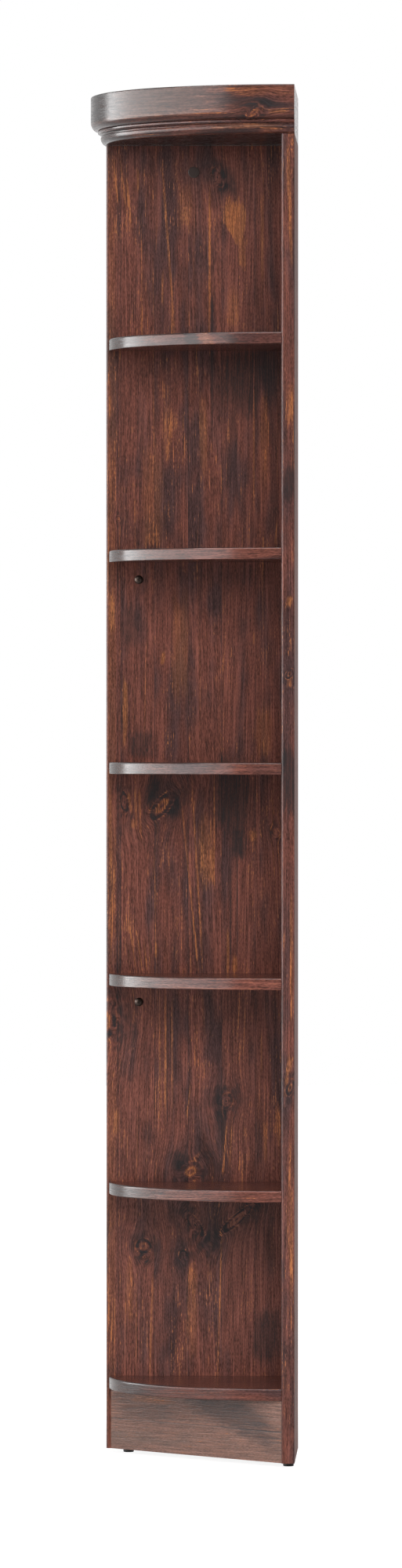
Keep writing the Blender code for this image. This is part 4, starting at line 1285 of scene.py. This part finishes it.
class SHELFEND_OT_cornice(bpy.types.Operator):
    """Build the cornice board: a fascia over an ovolo and a rounded fillet"""

    bl_idname = "shelf_end.cornice"
    bl_label = "Build Cornice"
    bl_options = {"REGISTER", "UNDO"}

    def execute(self, context):
        boards = context.scene.shelf_end_boards
        thickness = CORNICE_HIGH.z - CORNICE_LOW.z
        fascia, guard = boards.fascia_height, boards.guard
        ovolo_end = (boards.ovolo_width + boards.fillet, fascia + boards.ovolo_height)
        fillet_end = (ovolo_end[0], thickness - boards.quirk)
        fillet_head = (boards.ovolo_width, ovolo_end[1] + boards.fillet_edge)
        fillet_foot = (boards.ovolo_width, fillet_end[1] - boards.fillet_edge)
        profile = profile_of(rounded_top(boards.fascia_edge, guard),
                             (0, fascia - guard), (0, fascia),
                             quarter((0, fascia), ovolo_end, MOULDING_STATIONS, True),
                             quarter(ovolo_end, fillet_head, EDGE_STATIONS, False),
                             quarter(fillet_foot, fillet_end, EDGE_STATIONS, True),
                             (ovolo_end[0] + boards.quirk, thickness))
        path = front_edge_path(OUTER, OUTER - INNER, FASCIA_RADIUS)
        mesh = fronted_board("cornice_board_surface", profile, path, OUTER, CORNICE_HIGH.z, guard)
        finish = stained_pine("cornice_pine", map_layout, COATS["cornice_board"],
                              CORNICE_MARKS.values(), CORNICE_KNOTS.values())
        add_piece("cornice_board", mesh, finish)
        return {"FINISHED"}


class SHELFEND_OT_shelf_screws(bpy.types.Operator):
    """Build the countersunk screws that hold the shelves, with hexagonal sockets and threads"""

    bl_idname = "shelf_end.shelf_screws"
    bl_label = "Build Shelf Screws"
    bl_options = {"REGISTER", "UNDO"}

    def execute(self, context):
        sizes = context.scene.shelf_end_fittings
        for shelf in SHELVES:
            for upright in UPRIGHTS:
                for place in ("inner", "outer"):
                    self.build_screw(f"{shelf}_{upright}_screw_{place}", upright, sizes)
        return {"FINISHED"}

    def build_screw(self, node, upright, sizes):
        """One screw from its head inwards: socket, cone of the head, plain shank and thread."""
        columns, run_out, point_share, socket_share = 48, 0.001, 0.9, 0.96
        head, whole = extent(node, 2) / 2, extent(node, OUTWARD_AXIS[upright])
        socket = hexagon(columns, sizes.socket)
        tip = whole - sizes.head_height
        rows = [(0, sizes.socket_depth * POINTED), (socket * socket_share, sizes.socket_depth),
                (socket, BEVEL), (socket + BEVEL, 0), (head - BEVEL, 0), (head, BEVEL),
                (sizes.shank, sizes.head_height), (sizes.shank, sizes.shank_length)]
        rows += thread_rows(sizes.shank_length + run_out, tip, sizes.core, sizes.shank,
                            sizes.thread_pitch, columns)
        rows += [(sizes.core * point_share, tip), (0, whole)]
        start = middle(node) + OUTWARD[upright] * whole / 2
        add_turned(node, rows, columns, start, -OUTWARD[upright], "browned_steel")


class SHELFEND_OT_dowels(bpy.types.Operator):
    """Build the fluted beech dowels"""

    bl_idname = "shelf_end.dowels"
    bl_label = "Build Dowels"
    bl_options = {"REGISTER", "UNDO"}

    def execute(self, context):
        columns, flutes, flute_depth, chamfer = 96, 16, 0.00025, 0.0008
        angle = np.linspace(0, 2 * np.pi, columns + 1)
        flute = flute_depth * (0.5 - 0.5 * np.cos(angle * flutes)) ** 2
        for node in sorted(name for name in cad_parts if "dowel" in name):
            axis, direction = (0, OUTWARD["side"]) if node.startswith("corner") else (2, UP)
            whole, radius = extent(node, axis), extent(node, 1) / 2
            body = radius - flute
            rows = [(0, 0), (radius - chamfer, 0), (body, chamfer), (body, whole / 2),
                    (body, whole - chamfer), (radius - chamfer, whole), (0, whole)]
            start = middle(node) - direction * whole / 2
            add_turned(node, rows, columns, start, direction, "raw_beech")
        return {"FINISHED"}


class SHELFEND_OT_cams(bpy.types.Operator):
    """Finish the cams and build their bolts and caps"""

    bl_idname = "shelf_end.cams"
    bl_label = "Build Cam Fittings"
    bl_options = {"REGISTER", "UNDO"}

    def execute(self, context):
        for upright in UPRIGHTS:
            dress(f"{upright}_cam", fitting_finish("zinc_steel"))
            self.build_bolt(f"{upright}_cam_bolt")
            self.build_cap(f"{upright}_cam_cap", upright)
        return {"FINISHED"}

    def build_bolt(self, node):
        """Bolt along +Z: round head, neck, sleeve and thread."""
        low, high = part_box(node)
        whole, columns = high.z - low.z, 36
        neck, head, sleeve, thread = 0.0024, 0.0034, extent(node, 0) / 2, 0.0028
        head_low, head_high, neck_low, neck_high, sleeve_low = 0.0014, 0.0026, 0.004, 0.012, 0.0134
        pitch, core_share, thread_length = 0.0016, 0.78, 0.0105
        chamfer, run_in, run_out, point_length = 0.001, 0.0003, 0.0014, 0.0008
        foot = whole - thread_length
        rows = [(0, 0), (neck, 0), (head, head_low), (head, head_high), (neck, neck_low),
                (neck, neck_high), (sleeve, sleeve_low), (sleeve, foot - chamfer),
                (thread * 0.8, foot)]
        rows += thread_rows(foot + run_in, whole - run_out, thread * core_share, thread, pitch,
                            columns)
        rows += [(thread * 0.6, whole - point_length), (thread * 0.4, whole), (0, whole)]
        add_turned(node, rows, columns, below(node, low.z), UP, "zinc_steel")

    def build_cap(self, node, upright):
        """Flat cap with a rounded rim and a slightly domed face.

        The face falls from its middle by the fourth power of the share of the radius.
        """
        thick, radius, edge = extent(node, OUTWARD_AXIS[upright]), extent(node, 2) / 2, 0.0007
        draft, fall = 0.0003, edge * 0.1
        rim = [(radius - edge + edge * np.cos(step), thick - fall - edge + edge * np.sin(step))
               for step in quarter_turn_steps()]
        face = [(radius * part, thick - fall * part ** 4) for part in (0.85, 0.6, 0.3, 0)]
        rows = [(0, 0), (radius - draft, 0), (radius, BEVEL)] + rim + face
        start = middle(node) + OUTWARD[upright] * thick / 2
        add_turned(node, rows, ROUND_STATIONS, start, -OUTWARD[upright], "brown_plastic")


class SHELFEND_OT_cornice_screws(bpy.types.Operator):
    """Build the three countersunk screws that hold the cornice from below"""

    bl_idname = "shelf_end.cornice_screws"
    bl_label = "Build Cornice Screws"
    bl_options = {"REGISTER", "UNDO"}

    def execute(self, context):
        sizes = context.scene.shelf_end_fittings
        columns, core, crest, pitch, recess_share = 96, 0.0014, 0.002, 0.0018, 0.55
        head_height, shank, run_in, run_out, point_length = 0.0025, 0.004, 0.0005, 0.0045, 0.004
        recess = cross(columns, sizes.cross_span, sizes.cross_width)
        for place in ("left", "middle", "right"):
            node = f"cornice_screw_{place}"
            low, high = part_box(node)
            head, whole = extent(node, 0) / 2, high.z - low.z
            rows = [(0, sizes.cross_depth * POINTED), (recess * recess_share, sizes.cross_depth),
                    (recess, 0), (head - BEVEL, 0), (head, BEVEL), (crest, head_height),
                    (crest, head_height + shank)]
            rows += thread_rows(head_height + shank + run_in, whole - run_out, core, crest, pitch,
                                columns)
            rows += [(core * 0.9, whole - point_length), (0, whole)]
            add_turned(node, rows, columns, below(node, low.z), UP, "browned_steel")
        return {"FINISHED"}


class SHELFEND_OT_connectors(bpy.types.Operator):
    """Build the two dome-headed connector bolts with cross recesses"""

    bl_idname = "shelf_end.connectors"
    bl_label = "Build Connector Bolts"
    bl_options = {"REGISTER", "UNDO"}

    def execute(self, context):
        sizes = context.scene.shelf_end_fittings
        for place in ("lower", "upper"):
            self.build_bolt(f"connector_bolt_{place}", sizes)
        return {"FINISHED"}

    def build_bolt(self, node, sizes):
        """Bolt along +Y: recess, dome and thread. The dome is an ellipse over the radius."""
        columns, head_height, recess_share, run_in = 96, 0.0032, 0.6, 0.0003
        shank, core_share, pitch = 0.003, 0.82, 0.001
        low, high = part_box(node)
        head, top, foot = extent(node, 0) / 2, low.y - INNER, high.y - INNER
        recess = cross(columns, sizes.cross_span, sizes.cross_width)
        radii = [recess] + [head * part for part in (0.55, 0.7, 0.82, 0.91, 0.97)]
        rows = [(0, top + sizes.cross_depth * POINTED),
                (recess * recess_share, top + sizes.cross_depth)]
        rows += [(radius, top + head_height * (1 - np.sqrt(1 - (radius / head) ** 2)))
                 for radius in radii]
        rows += [(head, top + head_height), (shank, top + head_height)]
        rows += thread_rows(top + head_height + run_in, foot, shank * core_share, shank, pitch,
                            columns)
        rows += [(0, foot)]
        start = Vector((middle(node).x, INNER, middle(node).z))
        add_turned(node, rows, columns, start, OUTWARD["wide"], "browned_steel")


class SHELFEND_OT_glides(bpy.types.Operator):
    """Build the nail-on glides under the uprights"""

    bl_idname = "shelf_end.glides"
    bl_label = "Build Glides"
    bl_options = {"REGISTER", "UNDO"}

    def execute(self, context):
        toe, edge, shoulder, nail = 0.0066, 0.0016, 0.0004, 0.0011
        point_length, point_radius, point_height = 0.003, 0.0003, 0.0001
        seat = WIDE_LOW.z - GAP
        for upright in UPRIGHTS:
            for place in ("outer", "inner"):
                node = f"{upright}_glide_{place}"
                tip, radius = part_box(node)[1].z, extent(node, 0) / 2
                rows = [(0, 0)]
                rows += [(toe + (radius - toe) * np.sin(step), edge * (1 - np.cos(step)))
                         for step in quarter_turn_steps()]
                rows += [(radius, seat - shoulder), (radius - shoulder, seat), (nail, seat),
                         (nail, tip - point_length), (point_radius, tip - point_height), (0, tip)]
                add_turned(node, rows, ROUND_STATIONS, below(node, 0), UP, "black_plastic")
        return {"FINISHED"}


class Lamp(NamedTuple):
    """A soft rectangular lamp: its place, what it faces, its width and height, whether it lights
    surfaces, whether a coat reflects it, and how wide it spreads."""

    place: tuple
    target: tuple
    size: tuple
    lights: bool = True
    reflected: bool = True
    spread: float = math.pi


LAMPS = {
    "key": Lamp((0.9, -8.2, 3.7), (0, 0, 1.0), (3.2, 3.2), reflected=False),
    "low": Lamp((0.2, -1.7, 0.3), (0, 0, 0.3), (2.0, 0.5), reflected=False,
                spread=math.radians(80)),
    "left": Lamp((-4.6, -1.6, 1.3), (0, 0, 1.0), (4.0, 2.6)),
    "back": Lamp((2.2, 6.5, 2.9), (0, 0, 1.1), (3.0, 3.0), reflected=False),
    "sheen": Lamp((-6.0, -2.1, 1.90), (0, -2.1, 1.80), (13.9, 3.7), lights=False),
    "arris": Lamp((-1.2, -1.8, 5.2), (0, 0, 1.2), (5.0, 4.0), lights=False),
}

# The floor: half its size, where its shadow starts and ends, the share of plain white on it in
# the shadow, and the strength of that white
FLOOR_HALF = 14.0
SHADOW_START = 0.35
SHADOW_END = 1.1
SHADOW_WHITE = 0.7
FLOOR_WHITE = 1.28

# The width of the camera's sensor in millimetres, and how far the camera sees
SENSOR_WIDTH = 36.0
VIEW_DEPTH = 60.0


def aimed(place, target):
    """Turn that makes a lamp or a camera at a place face a target."""
    return (Vector(target) - Vector(place)).to_track_quat("-Z", "Y").to_euler()


class SHELFEND_OT_stage(bpy.types.Operator):
    """Set the floor, the plain white surround, the lamps and the camera"""

    bl_idname = "shelf_end.stage"
    bl_label = "Set Stage"
    bl_options = {"REGISTER", "UNDO"}

    def execute(self, context):
        stage = context.scene.shelf_end_stage
        context.scene.view_settings.view_transform = "Standard"
        self.make_surround(context.scene, stage)
        self.make_floor(context.scene, stage)
        for name, lamp in LAMPS.items():
            self.make_lamp(context.scene, name + "_lamp", lamp, getattr(stage, name + "_power"))
        self.make_camera(context.scene, stage)
        return {"FINISHED"}

    def seen_directly(self, tree):
        """One for rays from the camera, from a mirror reflection or through glass."""
        node = tree.nodes.new("ShaderNodeLightPath")
        seen = Field(tree, node.outputs["Is Camera Ray"])
        for label in ("Is Glossy Ray", "Is Transmission Ray"):
            seen = seen.math("MAXIMUM", Field(tree, node.outputs[label]))
        return seen

    def make_surround(self, scene, stage):
        """World that looks white and lights the object at a plain level."""
        world = bpy.data.worlds.new("surround")
        world.use_nodes = True
        tree = world.node_tree
        background = tree.nodes["Background"]
        background.inputs["Color"].default_value = (1.0, 1.0, 1.0, 1.0)
        seen = self.seen_directly(tree)
        feed(tree, background.inputs["Strength"], seen * (1.0 - stage.ambient) + stage.ambient)
        scene.world = world

    def make_floor(self, scene, stage):
        """Pale floor that keeps a soft shadow near the object and is white further off."""
        half = FLOOR_HALF
        mesh = bpy.data.meshes.new("floor")
        mesh.from_pydata([(-half, -half, 0), (half, -half, 0), (half, half, 0), (-half, half, 0)],
                         [], [(0, 1, 2, 3)])
        floor = bpy.data.objects.new("floor", mesh)
        scene.collection.objects.link(floor)
        material, tree, shader = new_material("pale_floor", tuple(stage.floor))
        tree.nodes.remove(shader)
        lit = tree.nodes.new("ShaderNodeBsdfDiffuse")
        lit.inputs["Color"].default_value = tuple(stage.floor)
        white = tree.nodes.new("ShaderNodeEmission")
        white.inputs["Strength"].default_value = FLOOR_WHITE
        x, y, _ = object_place(tree)
        far = ramp((x * x + y * y).math("SQRT"), SHADOW_START, SHADOW_END)
        blend = tree.nodes.new("ShaderNodeMixShader")
        feed(tree, blend.inputs["Fac"],
             self.seen_directly(tree) * (far * (1.0 - SHADOW_WHITE) + SHADOW_WHITE))
        tree.links.new(lit.outputs["BSDF"], blend.inputs[1])
        tree.links.new(white.outputs["Emission"], blend.inputs[2])
        tree.links.new(blend.outputs["Shader"], tree.nodes["Material Output"].inputs["Surface"])
        mesh.materials.append(material)

    def make_lamp(self, scene, name, lamp, power):
        """Lamp with its power in watts, unseen by the camera."""
        data = bpy.data.lights.new(name, "AREA")
        data.shape = "RECTANGLE"
        data.size, data.size_y = lamp.size
        data.energy = power
        data.spread = lamp.spread
        light = bpy.data.objects.new(name, data)
        scene.collection.objects.link(light)
        light.location = lamp.place
        light.rotation_euler = aimed(lamp.place, lamp.target)
        light.visible_camera = False
        light.visible_diffuse = lamp.lights
        light.visible_glossy = lamp.reflected

    def make_camera(self, scene, stage):
        """Camera at the photograph's viewing angle, aimed without a shift."""
        data = bpy.data.cameras.new("camera")
        data.lens = stage.lens
        data.sensor_width = SENSOR_WIDTH
        data.clip_end = VIEW_DEPTH
        camera = bpy.data.objects.new("camera", data)
        scene.collection.objects.link(camera)
        camera.location = stage.camera_place
        camera.rotation_euler = aimed(stage.camera_place, stage.camera_target)
        scene.camera = camera


STEPS = (SHELFEND_OT_panels, SHELFEND_OT_plinth, SHELFEND_OT_shelves, SHELFEND_OT_top_board,
         SHELFEND_OT_cornice, SHELFEND_OT_shelf_screws, SHELFEND_OT_dowels, SHELFEND_OT_cams,
         SHELFEND_OT_cornice_screws, SHELFEND_OT_connectors, SHELFEND_OT_glides,
         SHELFEND_OT_stage)
SETTINGS = {
    "shelf_end_boards": ShelfEndBoards,
    "shelf_end_stain": ShelfEndStain,
    "shelf_end_fittings": ShelfEndFittings,
    "shelf_end_stage": ShelfEndStage,
}


class SHELFEND_PT_sidebar(bpy.types.Panel):
    """Steps and settings of the shelf end unit"""

    bl_idname = "SHELFEND_PT_sidebar"
    bl_label = "Shelf End Unit"
    bl_space_type = "VIEW_3D"
    bl_region_type = "UI"
    bl_category = "Shelf End"

    def draw(self, context):
        for step in STEPS:
            self.layout.operator(step.bl_idname)
        for attribute, group in SETTINGS.items():
            box = self.layout.box()
            settings = getattr(context.scene, attribute)
            for label in group.__annotations__:
                box.prop(settings, label)


def register():
    """Registers the settings, the steps and the sidebar."""
    for attribute, group in SETTINGS.items():
        bpy.utils.register_class(group)
        setattr(bpy.types.Scene, attribute, PointerProperty(type=group))
    for step in (*STEPS, SHELFEND_PT_sidebar):
        bpy.utils.register_class(step)


def unregister():
    """Removes what register added."""
    for step in (SHELFEND_PT_sidebar, *reversed(STEPS)):
        bpy.utils.unregister_class(step)
    for attribute, group in SETTINGS.items():
        delattr(bpy.types.Scene, attribute)
        bpy.utils.unregister_class(group)


def main():
    """Runs every step in order."""
    register()
    bpy.ops.shelf_end.panels()
    bpy.ops.shelf_end.plinth()
    bpy.ops.shelf_end.shelves()
    bpy.ops.shelf_end.top_board()
    bpy.ops.shelf_end.cornice()
    bpy.ops.shelf_end.shelf_screws()
    bpy.ops.shelf_end.dowels()
    bpy.ops.shelf_end.cams()
    bpy.ops.shelf_end.cornice_screws()
    bpy.ops.shelf_end.connectors()
    bpy.ops.shelf_end.glides()
    bpy.ops.shelf_end.stage()


if __name__ == "__main__":
    main()
